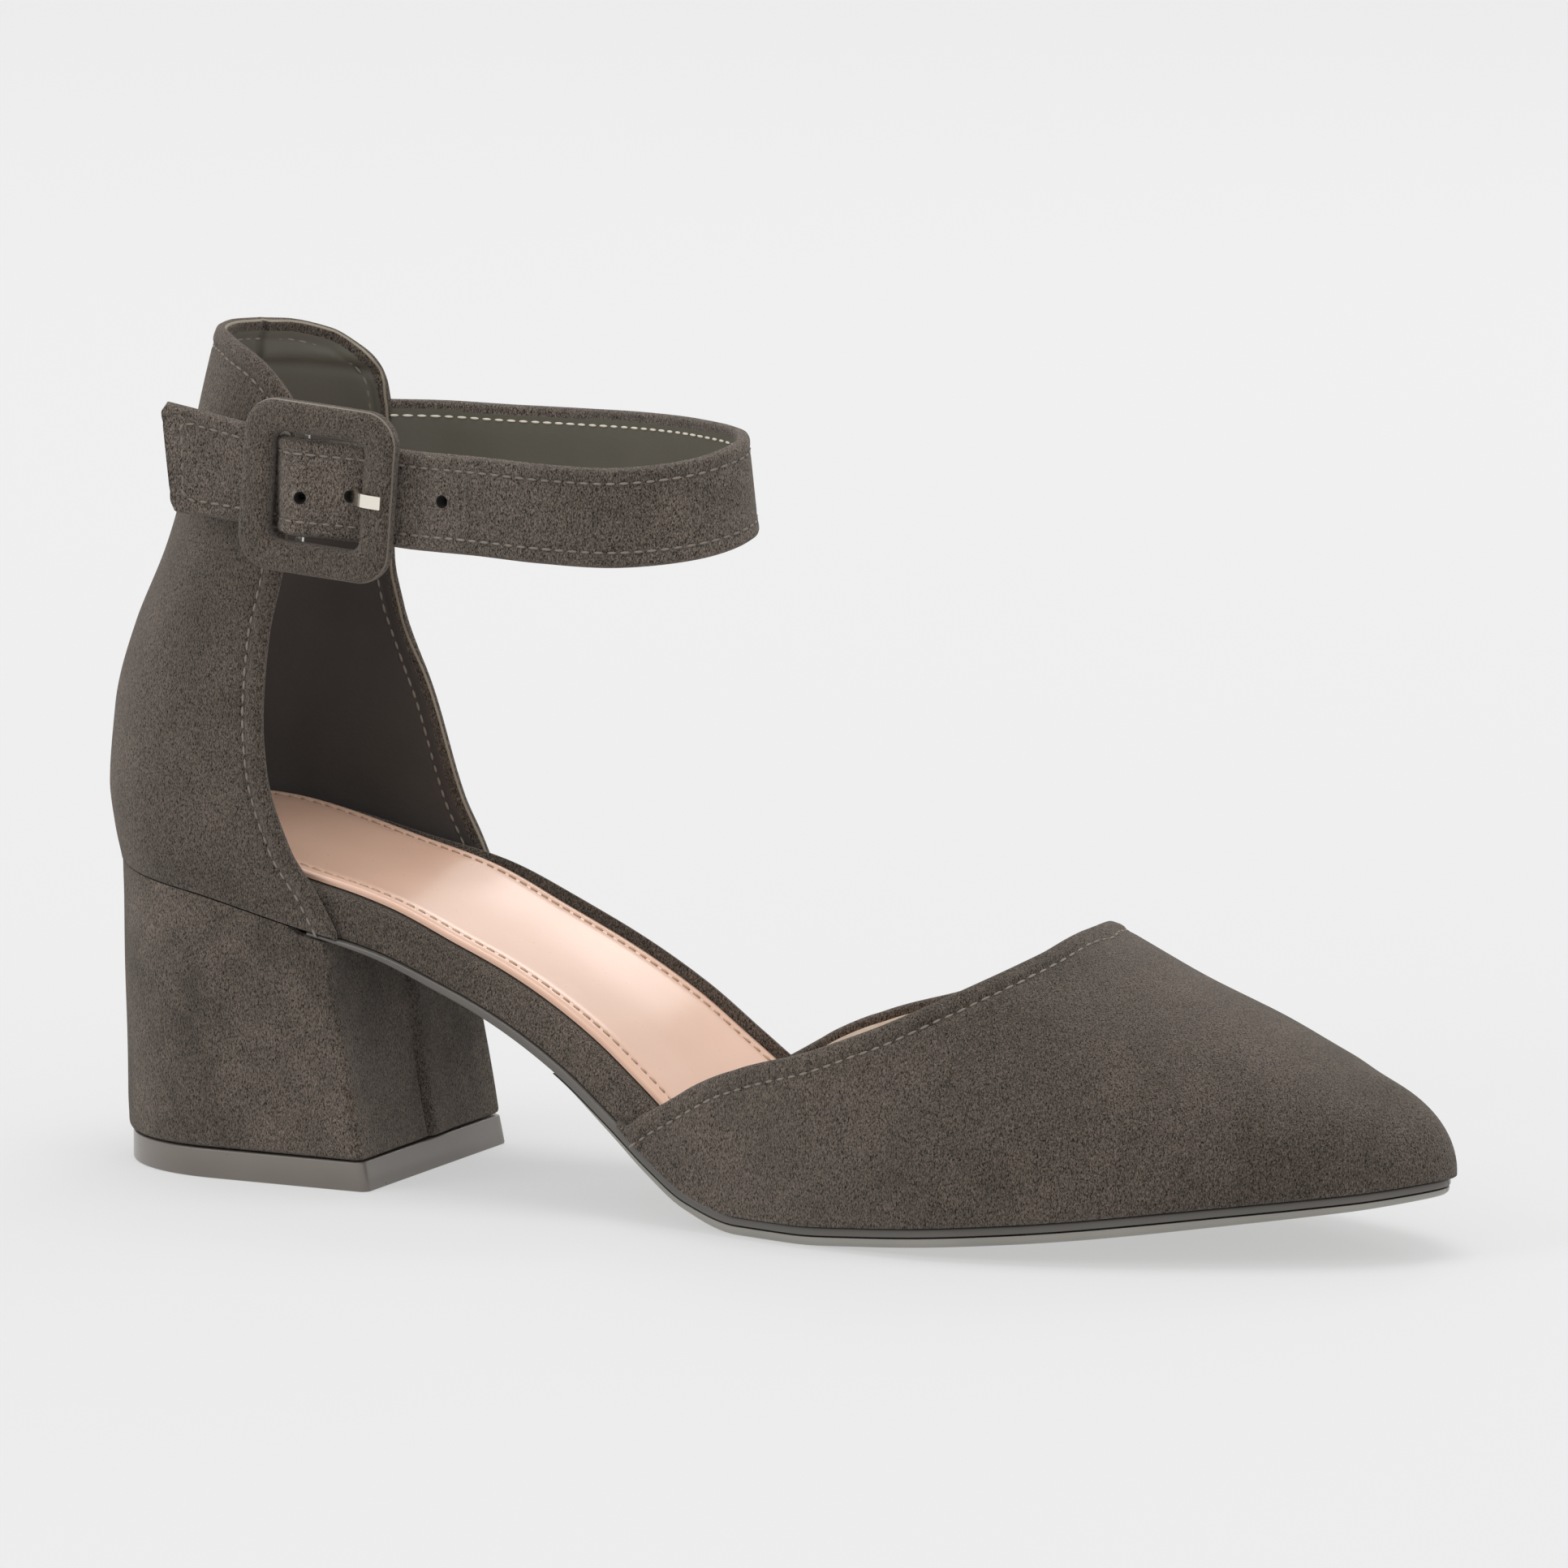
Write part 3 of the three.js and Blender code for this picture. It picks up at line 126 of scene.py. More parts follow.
class Column:
    """A smooth line through the rows of a table that never overshoots between them."""

    def __init__(self, rows: Sequence[Sequence[float]], column: int, scale: Callable | None = None) -> None:
        """Reads one column.

        Args:
            rows: table rows, the first entry being the place.
            column: index of the value in a row.
            scale: gives a factor for a row, or None.
        """
        self.at = np.array([row[0] for row in rows], float)
        self.value = np.array([row[column] * (scale(row) if scale else 1.0) for row in rows], float)
        chord = np.diff(self.value) / np.diff(self.at)
        before, after = chord[:-1], chord[1:]
        total = np.where(before * after > 0, before + after, 1.0)
        middle = np.where(before * after > 0, 2 * before * after / total, 0.0)
        self.slope = np.concatenate([chord[:1], middle, chord[-1:]])

    def __call__(self, place: Array | float) -> Array:
        """Returns the value at each place."""
        x = np.clip(place, self.at[0], self.at[-1])
        i = np.clip(np.searchsorted(self.at, x) - 1, 0, len(self.at) - 2)
        span = self.at[i + 1] - self.at[i]
        s = (x - self.at[i]) / span
        rise = self.value[i + 1] - self.value[i]
        bend = self.slope[i] * span * s * (1 - s) ** 2 - self.slope[i + 1] * span * s**2 * (1 - s)
        return self.value[i] + rise * s * s * (3 - 2 * s) + bend


def smoothstep(value: Array | float, low: float, high: float) -> Array:
    """Returns a smooth step from 0 at low to 1 at high."""
    s = np.clip((np.asarray(value, float) - low) / (high - low), 0.0, 1.0)
    return s * s * (3 - 2 * s)


def bell(value: Array | float, centre: float, width: float) -> Array:
    """Returns a soft hump of height 1 round a centre."""
    return np.exp(-(((np.asarray(value, float) - centre) / width) ** 2))


def unit(vectors: Array) -> Array:
    """Returns the vectors at length 1, and zero ones unchanged."""
    long = np.linalg.norm(vectors, axis=-1, keepdims=True)
    return vectors / np.where(long > 1e-12, long, 1.0)


def quarter_round(value: Array | float, depth: float, width: float) -> Array:
    """Returns how far a rounded edge falls back, from depth at 0 to nothing at width."""
    return depth * (1 - np.sqrt(np.clip(1 - (1 - np.clip(np.asarray(value, float) / width, 0, 1)) ** 2, 0, 1)))


def tree_of(points: Array) -> KDTree:
    """Builds a search tree.

    Args:
        points: the points to find.

    Returns:
        The tree; each point keeps its place in the list as its index.
    """
    tree = KDTree(len(points))
    for k, point in enumerate(points):
        tree.insert(Vector(point), k)
    tree.balance()
    return tree


@dataclass
class Last:
    """The foot form and its sole line, in millimetres."""

    sole_length: float = 250.0
    behind: float = 31.4
    seat_height: float = 53.9
    seat_width: float = 52.2
    toe_spring: float = 10.3
    toe_tip_offset: float = 4.2
    heel_round: float = 24.0
    toe_round: float = 12.0
    heel_power: float = 2.2
    toe_power: float = 2.0
    turn: float = 0.15
    gap: float = 0.3
    wall: float = 1.7
    band: float = 1.5
    tread: float = 1.7

    def __post_init__(self) -> None:
        """Reads the tables and measures the walk along the outline."""
        self.half_gap = self.gap / 2
        self.stand = self.band + self.tread + self.gap + self.half_gap
        self.arch = Column(PROFILE, 1)
        self.spring = Column(PROFILE, 2)
        self.outer_half = Column(OUTLINE, 2, lambda row: row[1])
        self.inner_half = Column(OUTLINE, 3, lambda row: row[1])
        self.upper_edge = Column(EDGE, 1)
        self.sole_edge = Column(EDGE, 2)
        self.band_share, self.tread_share, self.board_share, self.lip_share = (
            Column(LAYERS, k) for k in range(1, 5)
        )
        self._walks = np.concatenate([np.linspace(0, self.turn, 4001), np.linspace(self.turn, 1, 20001)[1:]])
        self._walk_x = self.along(self._walks)[0]

    def share(self, x: Array | float) -> Array:
        """Returns the place as a share of the sole's length."""
        return (np.asarray(x, float) + self.behind) / self.sole_length

    def place(self, share: Array | float) -> Array:
        """Returns X for a share of the sole's length."""
        return np.asarray(share, float) * self.sole_length - self.behind

    def feather(self, x: Array | float) -> Array:
        """Returns the height of the line where upper and sole meet."""
        share = self.share(x)
        return self.stand + self.arch(share) * (self.seat_height - self.stand) + self.spring(share) * self.toe_spring

    def over(self, plan: Array, height: Array | float) -> Array:
        """Returns points above or below the feather line, measured square to the sole.

        Args:
            plan: X and Y in the last axis.
            height: height over the feather line.

        Returns:
            X, Y and Z in the last axis.
        """
        reach = 0.5
        x = np.clip(plan[..., 0], self.place(0.01), self.place(0.99))
        slope = (self.feather(x + reach) - self.feather(x - reach)) / (2 * reach)
        long = np.hypot(1.0, slope)
        return np.stack(
            [plan[..., 0] - height * slope / long, plan[..., 1], self.feather(plan[..., 0]) + height / long], -1
        )

    def along(self, walk: Array) -> tuple[Array, Array]:
        """Returns X and the fill of the width for a walk of 0 at the heel's back to 1 at the toe's tip."""
        walk = np.clip(np.asarray(walk, float), 0.0, 1.0)
        heel = walk / self.turn * math.pi / 2
        toe = (1 - walk) / self.turn * math.pi / 2
        straight = self.sole_length - self.heel_round - self.toe_round
        share = (walk - self.turn) / (1 - 2 * self.turn)
        heel_cos = np.cos(np.clip(heel, 0, math.pi / 2)) ** (2 / self.heel_power)
        toe_cos = np.cos(np.clip(toe, 0, math.pi / 2)) ** (2 / self.toe_power)
        x = np.where(
            walk < self.turn,
            self.place(0) + self.heel_round * (1 - heel_cos),
            np.where(
                walk > 1 - self.turn,
                self.place(1) - self.toe_round * (1 - toe_cos),
                self.place(0) + self.heel_round + share * straight,
            ),
        )
        fill = np.where(
            walk < self.turn,
            np.sin(np.clip(heel, 0, math.pi / 2)) ** (2 / self.heel_power),
            np.where(walk > 1 - self.turn, np.sin(np.clip(toe, 0, math.pi / 2)) ** (2 / self.toe_power), 1.0),
        )
        return x, fill

    def walk_to(self, x: Array | float) -> Array:
        """Returns the walk at which the outline reaches X."""
        return np.interp(x, self._walk_x, self._walks)

    def middle(self, share: Array) -> Array:
        """Returns Y of the middle line, which bends towards the toe's tip."""
        return smoothstep(share, 0.5, 1.0) * self.toe_tip_offset

    def outline_y(self, side: Side, walk: Array) -> Array:
        """Returns Y of the outline."""
        x, fill = self.along(walk)
        share = self.share(x)
        edge = -self.outer_half(share) if side is Side.OUTER else self.inner_half(share)
        middle = self.middle(share)
        return middle + (edge - middle) * fill

    def rim(self, side: Side, walk: Array, offset: Array | float) -> Array:
        """Returns points of the outline in plan, moved out square to it."""
        walk = np.asarray(walk, float)
        step = 1e-4
        before, after = np.maximum(0, walk - step), np.minimum(1, walk + step)
        dx = self.along(after)[0] - self.along(before)[0]
        dy = self.outline_y(side, after) - self.outline_y(side, before)
        long = np.hypot(dx, dy)
        sign = side.value
        x = self.along(walk)[0] - sign * dy * offset / long
        y = self.outline_y(side, walk) + sign * dx * offset / long
        tip_back, tip_front = walk <= 0, walk >= 1
        x = np.where(tip_back, self.place(0) - offset, np.where(tip_front, self.place(1) + offset, x))
        y = np.where(tip_back | tip_front, self.outline_y(side, walk), y)
        return np.stack([x, y], -1)

    def upper_offset(self, walk: Array) -> Array:
        """Returns how far the upper's outside stands out from the outline."""
        return self.upper_edge(self.share(self.along(walk)[0])) * self.wall


# Meshes


def placed(name: str, data: bpy.types.ID) -> bpy.types.Object:
    """Puts a mesh, lamp or camera in the scene.

    Args:
        name: name of the object.
        data: its data.

    Returns:
        The object.
    """
    obj = bpy.data.objects.new(name, data)
    bpy.context.scene.collection.objects.link(obj)
    return obj


def aimed(name: str, data: bpy.types.ID, place: Vector, towards: Vector) -> bpy.types.Object:
    """Puts a lamp or camera in the scene and turns it.

    Args:
        name: name of the object.
        data: its data.
        place: where it stands, in metres.
        towards: direction in which it looks.

    Returns:
        The object.
    """
    obj = placed(name, data)
    obj.location = place
    obj.rotation_mode = "QUATERNION"
    obj.rotation_quaternion = towards.to_track_quat("-Z", "Y")
    return obj


def piece_mesh(
    name: str,
    points: Array,
    faces: Iterable[Sequence[int]],
    materials: Sequence[bpy.types.Material],
    indices: Sequence[int] | None = None,
    sharp: float | None = None,
) -> bpy.types.Object:
    """Makes a mesh object at the origin from points in millimetres.

    Args:
        name: name of the piece.
        points: X, Y and Z in the last axis.
        faces: corners of each face.
        materials: finishes in slot order.
        indices: slot of each face, or None for the first.
        sharp: angle in degrees over which an edge is shaded sharp, or None.

    Returns:
        The new object.
    """
    mesh = bpy.data.meshes.new(name)
    mesh.from_pydata((np.asarray(points).reshape(-1, 3) * MM).tolist(), [], [list(map(int, f)) for f in faces])
    for material in materials:
        mesh.materials.append(material)
    if indices is not None:
        mesh.polygons.foreach_set("material_index", np.asarray(indices, np.int32))
    mesh.polygons.foreach_set("use_smooth", np.ones(len(mesh.polygons), bool))
    if sharp is not None:
        mesh.set_sharp_from_angle(angle=math.radians(sharp))
    mesh.validate(clean_customdata=False)
    mesh.update()
    return placed(name, mesh)


def corners(face: Sequence[int]) -> list[int]:
    """Returns a face's corners without repeats."""
    kept: list[int] = []
    for corner in face:
        if corner not in kept:
            kept.append(int(corner))
    return kept


def merged(points: Array, faces: Array) -> tuple[Array, Array, Array]:
    """Joins points that lie on each other.

    Args:
        points: all points.
        faces: four corners for each face.

    Returns:
        The kept points, the faces, and the new index of each old point.
    """
    keys = np.round(points, 3) + 0.0
    _, first, inverse = np.unique(keys, axis=0, return_index=True, return_inverse=True)
    inverse = inverse.reshape(-1)
    return points[first], inverse[faces], inverse


def grid_faces(rows: int, columns: int, start: int = 0, flip: bool = False, closed: bool = False) -> Array:
    """Returns the quads of a grid of points.

    Args:
        rows: number of rows.
        columns: number of points in a row.
        start: index of the first point.
        flip: turns the faces round.
        closed: joins the last point of a row to the first.

    Returns:
        Four corners for each face.
    """
    i, j = np.meshgrid(np.arange(rows - 1), np.arange(columns if closed else columns - 1), indexing="ij")
    k = (j + 1) % columns
    quads = np.stack([i * columns + j, (i + 1) * columns + j, (i + 1) * columns + k, i * columns + k], -1)
    quads = quads.reshape(-1, 4) + start
    return quads[:, ::-1] if flip else quads


def tube(rings: Array, cap_first: bool = True, cap_last: bool = True) -> tuple[Array, list[list[int]]]:
    """Joins closed rings of points into a body.

    Args:
        rings: rings, points and coordinates in the axes.
        cap_first: closes the first ring.
        cap_last: closes the last ring.

    Returns:
        Points and faces, merged and turned outwards.
    """
    count, around = rings.shape[:2]
    faces = grid_faces(count, around, closed=True)
    points, faces, index = merged(rings.reshape(-1, 3), faces)
    body = [corners(face) for face in faces]
    body = [face for face in body if len(face) > 2]
    for wanted, ring, reverse in ((cap_first, 0, False), (cap_last, count - 1, True)):
        if wanted:
            loop = corners(index[ring * around : (ring + 1) * around])
            if len(loop) > 2:
                body.append(loop if reverse else loop[::-1])
    volume = 0.0
    for face in body:
        for k in range(1, len(face) - 1):
            volume += points[face[0]] @ np.cross(points[face[k]], points[face[k + 1]])
    if volume < 0:
        body = [face[::-1] for face in body]
    return points, body


@dataclass
class Sheet:
    """An open surface that gets a wall, a rolled edge and a lining."""

    points: Array
    faces: Array
    wall: float
    steps: int = 6

    def __post_init__(self) -> None:
        """Merges the points and finds the normals and the open edge."""
        self.points, self.faces, self.index = merged(self.points, self.faces)
        self.polygons = [face for face in (corners(f) for f in self.faces) if len(face) > 2]
        p = self.points
        f = self.faces
        area = np.cross(p[f[:, 2]] - p[f[:, 0]], p[f[:, 3]] - p[f[:, 1]])
        total = np.zeros_like(p)
        for k in range(4):
            np.add.at(total, f[:, k], area)
        self.normals = unit(total)
        directed = set()
        for face in self.polygons:
            directed.update(zip(face, face[1:] + face[:1]))
        self.open_edges = [(a, b) for a, b in directed if (b, a) not in directed]
        outward = np.zeros_like(p)
        for a, b in self.open_edges:
            out = unit(np.cross(unit(p[b] - p[a]), self.normals[a] + self.normals[b]))
            outward[a] += out
            outward[b] += out
        self.outward = unit(outward)

    def distance(self, line: Array) -> tuple[Array, Array]:
        """Returns each point's distance from a line of points, and the run along the line at its nearest place."""
        step = 0.25
        tree = tree_of(resampled(line, step))
        found = [tree.find(Vector(point)) for point in self.points]
        return np.array([hit[2] for hit in found]), np.array([hit[1] * step for hit in found])

    def inset(self, line: Sequence[int], distance: float, lift: float, relief: Array) -> Array:
        """Returns a line on the outside that runs beside the open edge.

        Args:
            line: points of the edge in order.
            distance: distance from the edge.
            lift: height over the surface.
            relief: how far each point of the outside is moved out.

        Returns:
            Points of the line.
        """
        edge = self.points[line]
        moved = self.points + self.normals * relief[:, None]
        surface = BVHTree.FromPolygons([Vector(p) for p in moved], self.polygons)
        wanted = edge - self.outward[line] * distance
        found = []
        for point in wanted:
            place, normal, _, _ = surface.find_nearest(Vector(point))
            found.append(np.array(place) + np.array(normal) * lift)
        found = np.array(found)
        tree = tree_of(resampled(edge, 0.3))
        clear = np.array([tree.find(Vector(point))[2] >= 0.93 * distance for point in found])
        return smoothed(resampled(found[clear], 0.6), 3)

    def walled(self, relief: Array, bulge: Array, inner_relief: Array | None = None) -> tuple[Array, list, Array]:
        """Gives the surface its wall.

        Args:
            relief: how far each point of the outside is moved out.
            bulge: how round the open edge is at each point, 0 to 1.
            inner_relief: how far each point of the lining is moved inwards.

        Returns:
            Points, faces, and the kind of each face: 0 outside, 1 edge, 2 lining, 3 cut edge of the lining.
        """
        outer = self.points + self.normals * relief[:, None]
        inner = self.points - self.normals * self.wall
        if inner_relief is not None:
            inner = inner - self.normals * inner_relief[:, None]
        rim = sorted({a for edge in self.open_edges for a in edge})
        place = {point: k for k, point in enumerate(rim)}
        count, size = len(self.points), len(rim)
        middle, half = (outer + inner) / 2, (outer - inner) / 2
        rings = []
        for k in range(1, self.steps):
            angle = math.pi * k / self.steps
            out = self.outward[rim] * (bulge[rim] * math.sin(angle) * self.wall / 2)[:, None]
            rings.append(middle[rim] + half[rim] * math.cos(angle) + out)
        points = np.concatenate([outer, inner, *rings])

        def at(point: int, ring: int) -> int:
            if ring == 0:
                return point
            if ring == self.steps:
                return point + count
            return 2 * count + (ring - 1) * size + place[point]

        faces = [list(face) for face in self.polygons]
        kinds = [0] * len(faces)
        faces += [[corner + count for corner in reversed(face)] for face in self.polygons]
        kinds += [2] * len(self.polygons)
        for a, b in self.open_edges:
            for k in range(self.steps):
                faces.append([at(b, k), at(a, k), at(a, k + 1), at(b, k + 1)])
                kinds.append(3 if k == self.steps - 2 else 1)
        return points, faces, np.array(kinds)


def resampled(line: Array, step: float) -> Array:
    """Returns points at an even distance along a line."""
    line = np.asarray(line, float)
    gaps = np.linalg.norm(np.diff(line, axis=0), axis=1)
    line = line[np.concatenate([[True], gaps > 1e-6])]
    run = np.concatenate([[0.0], np.cumsum(np.linalg.norm(np.diff(line, axis=0), axis=1))])
    count = max(2, int(round(run[-1] / step)) + 1)
    at = np.linspace(0, run[-1], count)
    return np.stack([np.interp(at, run, line[:, k]) for k in range(3)], -1)


def smoothed(line: Array, rounds: int) -> Array:
    """Returns a line with its small kinks evened out and its ends kept."""
    line = line.copy()
    for _ in range(rounds):
        line[1:-1] = 0.25 * line[:-2] + 0.5 * line[1:-1] + 0.25 * line[2:]
    return line


def spread(low: float, high: float, count: int, fine: float, fine_count: int) -> Array:
    """Returns stops that are closer together near the high end.

    Args:
        low: first stop.
        high: last stop.
        count: number of wide steps.
        fine: length of the fine stretch.
        fine_count: number of fine steps.

    Returns:
        The stops.
    """
    turn = high - fine
    return np.concatenate([np.linspace(low, turn, count + 1), np.linspace(turn, high, fine_count + 1)[1:]])


def two_sided(grids: Sequence[Array], wall: float) -> Sheet:
    """Joins the two sides of a form into one sheet.

    Args:
        grids: points of the outer and of the inner side, row by row.
        wall: thickness of the wall.

    Returns:
        The sheet.
    """
    rows, per = grids[0].shape[:2]
    faces = np.concatenate([grid_faces(rows, per), grid_faces(rows, per, rows * per, flip=True)])
    return Sheet(np.concatenate([grid.reshape(-1, 3) for grid in grids]), faces, wall)


# Finishes


class Net:
    """A node tree with short calls to add and join nodes."""

    def __init__(self, tree: bpy.types.NodeTree) -> None:
        """Keeps the tree."""
        self.tree = tree

    def add(self, kind: str, **values: object) -> bpy.types.Node:
        """Adds a node; values name its properties, or its inputs by name with spaces as underscores."""
        node = self.tree.nodes.new(kind)
        for key, value in values.items():
            if hasattr(node, key):
                setattr(node, key, value)
            else:
                self.put(node.inputs[key.replace("_", " ")], value)
        return node

    def put(self, socket: bpy.types.NodeSocket, value: object) -> None:
        """Sets a socket, or joins it to another socket."""
        if isinstance(value, bpy.types.NodeSocket):
            self.tree.links.new(value, socket)
        else:
            socket.default_value = value

    def math(self, operation: str, first: object, second: object = 0.0) -> bpy.types.NodeSocket:
        """Adds a sum of two values and returns its output."""
        node = self.tree.nodes.new("ShaderNodeMath")
        node.operation = operation
        self.put(node.inputs[0], first)
        self.put(node.inputs[1], second)
        return node.outputs[0]

    def blend(self, first: object, much: float, second: object, little: float) -> bpy.types.NodeSocket:
        """Adds two values, each times its share, and returns the output."""
        return self.math("ADD", self.math("MULTIPLY", first, much), self.math("MULTIPLY", second, little))

    def mix(self, factor: object, first: object, second: object, blend: str = "MIX") -> bpy.types.NodeSocket:
        """Mixes two colours and returns the output."""
        node = self.tree.nodes.new("ShaderNodeMix")
        node.data_type = "RGBA"
        node.blend_type = blend
        self.put(node.inputs[0], factor)
        self.put(node.inputs[6], first)
        self.put(node.inputs[7], second)
        return node.outputs[2]

    def ramp(self, value: object, low: float, high: float) -> bpy.types.NodeSocket:
        """Stretches a value so that low becomes 0 and high becomes 1."""
        node = self.tree.nodes.new("ShaderNodeMapRange")
        self.put(node.inputs[0], value)
        self.put(node.inputs[1], low)
        self.put(node.inputs[2], high)
        return node.outputs[0]

    def noise(self, vector: object, scale: object, detail: float, rough: float = 0.5) -> bpy.types.NodeSocket:
        """Adds a noise and returns its value."""
        node = self.tree.nodes.new("ShaderNodeTexNoise")
        self.put(node.inputs["Vector"], vector)
        self.put(node.inputs["Scale"], scale)
        self.put(node.inputs["Detail"], detail)
        self.put(node.inputs["Roughness"], rough)
        return node.outputs["Fac"]


def node_of(tree: bpy.types.NodeTree, kind: str) -> bpy.types.Node:
    """Returns the first node of a type."""
    return next(node for node in tree.nodes if node.type == kind)


def fill(node: bpy.types.Node, values: dict[str, object]) -> None:
    """Sets a node's named inputs."""
    for key, value in values.items():
        node.inputs[key].default_value = value


def shader_group(name: str, inputs: dict[str, object]) -> tuple[Net, bpy.types.Node, bpy.types.Node]:
    """Starts a shader node group that gives colour, roughness and height.

    Args:
        name: name of the group.
        inputs: default of each named input; three or four numbers make a vector or a colour.

    Returns:
        The net, the input node and the output node.
    """
    tree = bpy.data.node_groups.new(name, "ShaderNodeTree")
    for key, value in inputs.items():
        kind = "NodeSocketFloat"
        if isinstance(value, tuple):
            kind = "NodeSocketColor" if len(value) == 4 else "NodeSocketVector"
        socket = tree.interface.new_socket(key, in_out="INPUT", socket_type=kind)
        socket.default_value = value
    for key, kind in (("Color", "Color"), ("Roughness", "Float"), ("Height", "Float")):
        tree.interface.new_socket(key, in_out="OUTPUT", socket_type="NodeSocket" + kind)
    net = Net(tree)
    return net, net.add("NodeGroupInput"), net.add("NodeGroupOutput")


def nap_group() -> bpy.types.NodeTree:
    """Builds the short brushed pile of the suede look: speckled colour, roughness and height.

    Returns:
        The node group.
    """
    inputs = {
        "Vector": (0.0, 0.0, 0.0),
        "Deep": (0.03, 0.025, 0.02, 1.0),
        "Tip": (0.2, 0.17, 0.15, 1.0),
        "Fine": 2500.0,
        "Broad": 26.0,
        "Brushed": 0.34,
    }
    net, source, out = shader_group("brushed_nap", inputs)
    vector = source.outputs["Vector"]
    fibre = net.add("ShaderNodeMapping", Vector=vector, Rotation=(0.35, 0.2, 0.5), Scale=(1.15, 1.15, 0.6))
    fine = net.noise(fibre.outputs[0], source.outputs["Fine"], 2.0, 0.62)
    half = net.math("MULTIPLY", source.outputs["Fine"], 0.56)
    clump = net.noise(fibre.outputs[0], half, 2.0, 0.7)
    broad = net.noise(vector, source.outputs["Broad"], 3.0, 0.55)
    patch = net.noise(vector, net.math("MULTIPLY", source.outputs["Broad"], 5.0), 2.0, 0.5)
    speck = net.blend(fine, 0.62, clump, 0.38)
    speck = net.ramp(speck, 0.39, 0.62)
    sweep = net.blend(broad, 0.7, patch, 0.3)
    sweep = net.ramp(sweep, 0.36, 0.64)
    colour = net.mix(speck, source.outputs["Deep"], source.outputs["Tip"])
    shade = net.math("MULTIPLY", net.math("SUBTRACT", sweep, 0.5), source.outputs["Brushed"])
    shade = net.math("ADD", shade, 1.0)
    shaded = net.add("ShaderNodeVectorMath", operation="SCALE")
    net.put(shaded.inputs[0], colour)
    net.put(shaded.inputs["Scale"], shade)
    net.put(out.inputs["Color"], shaded.outputs[0])
    net.put(out.inputs["Roughness"], net.math("ADD", net.math("MULTIPLY", speck, -0.12), 1.0))
    net.put(out.inputs["Height"], speck)
    return net.tree


def grain_group() -> bpy.types.NodeTree:
    """Builds a fine leather or moulded grain with faint wear, for linings, sock and sole.

    Returns:
        The node group.
    """
    inputs = {
        "Vector": (0.0, 0.0, 0.0),
        "Base": (0.5, 0.4, 0.35, 1.0),
        "Worn": (0.6, 0.5, 0.45, 1.0),
        "Fine": 900.0,
        "Broad": 40.0,
        "Gloss": 0.3,
        "Spread": 0.1,
    }
    net, source, out = shader_group("fine_grain", inputs)
    vector = source.outputs["Vector"]
    cells = net.add("ShaderNodeTexVoronoi", feature="F1")
    net.put(cells.inputs["Vector"], vector)
    net.put(cells.inputs["Scale"], source.outputs["Fine"])
    fine = net.noise(vector, source.outputs["Fine"], 3.0, 0.6)
    broad = net.noise(vector, source.outputs["Broad"], 3.0, 0.5)
    worn = net.ramp(broad, 0.35, 0.7)
    net.put(out.inputs["Color"], net.mix(worn, source.outputs["Base"], source.outputs["Worn"]))
    rough = net.math("MULTIPLY", net.math("SUBTRACT", fine, 0.5), source.outputs["Spread"])
    net.put(out.inputs["Roughness"], net.math("ADD", rough, source.outputs["Gloss"]))
    net.put(out.inputs["Height"], net.blend(cells.outputs["Distance"], 0.5, fine, 0.5))
    return net.tree


@dataclass(frozen=True)
class Nap:
    """Brushed suede-look cover."""

    name: str
    deep: Colour = (0.012, 0.0088, 0.007)
    tip: Colour = (0.19, 0.152, 0.123)
    fine: float = 4600.0
    broad: float = 26.0
    brushed: float = 0.46
    depth: float = 0.00022
    strength: float = 0.9
    specular: float = 0.18
    sheen: float = 0.22
    sheen_rough: float = 0.45
    sheen_tint: Colour = (0.95, 0.88, 0.8)

    def material(self, groups: dict[str, bpy.types.NodeTree]) -> bpy.types.Material:
        """Returns the finish as a material."""
        values = {
            "Deep": (*self.deep, 1.0),
            "Tip": (*self.tip, 1.0),
            "Fine": self.fine,
            "Broad": self.broad,
            "Brushed": self.brushed,
        }
        material, shader = grouped_material(self.name, groups["nap"], values, self.depth, self.strength)
        fill(shader, {"Specular IOR Level": self.specular, "Sheen Weight": self.sheen,
                      "Sheen Roughness": self.sheen_rough, "Sheen Tint": (*self.sheen_tint, 1.0)})
        return material


@dataclass(frozen=True)
class Grain:
    """Smooth leather-look or moulded surface with a fine grain."""

    name: str
    base: Colour
    worn: Colour
    gloss: float = 0.5
    fine: float = 900.0
    broad: float = 40.0
    spread: float = 0.12
    depth: float = 0.00004
    strength: float = 0.5
    coat: float = 0.0
    coat_rough: float = 0.2
    metal: float = 0.0
    specular: float = 0.5

    def material(self, groups: dict[str, bpy.types.NodeTree]) -> bpy.types.Material:
        """Returns the finish as a material."""
        values = {
            "Base": (*self.base, 1.0),
            "Worn": (*self.worn, 1.0),
            "Fine": self.fine,
            "Broad": self.broad,
            "Gloss": self.gloss,
            "Spread": self.spread,
        }
        material, shader = grouped_material(self.name, groups["grain"], values, self.depth, self.strength)
        fill(shader, {"Coat Weight": self.coat, "Coat Roughness": self.coat_rough,
                      "Metallic": self.metal, "Specular IOR Level": self.specular})
        return material


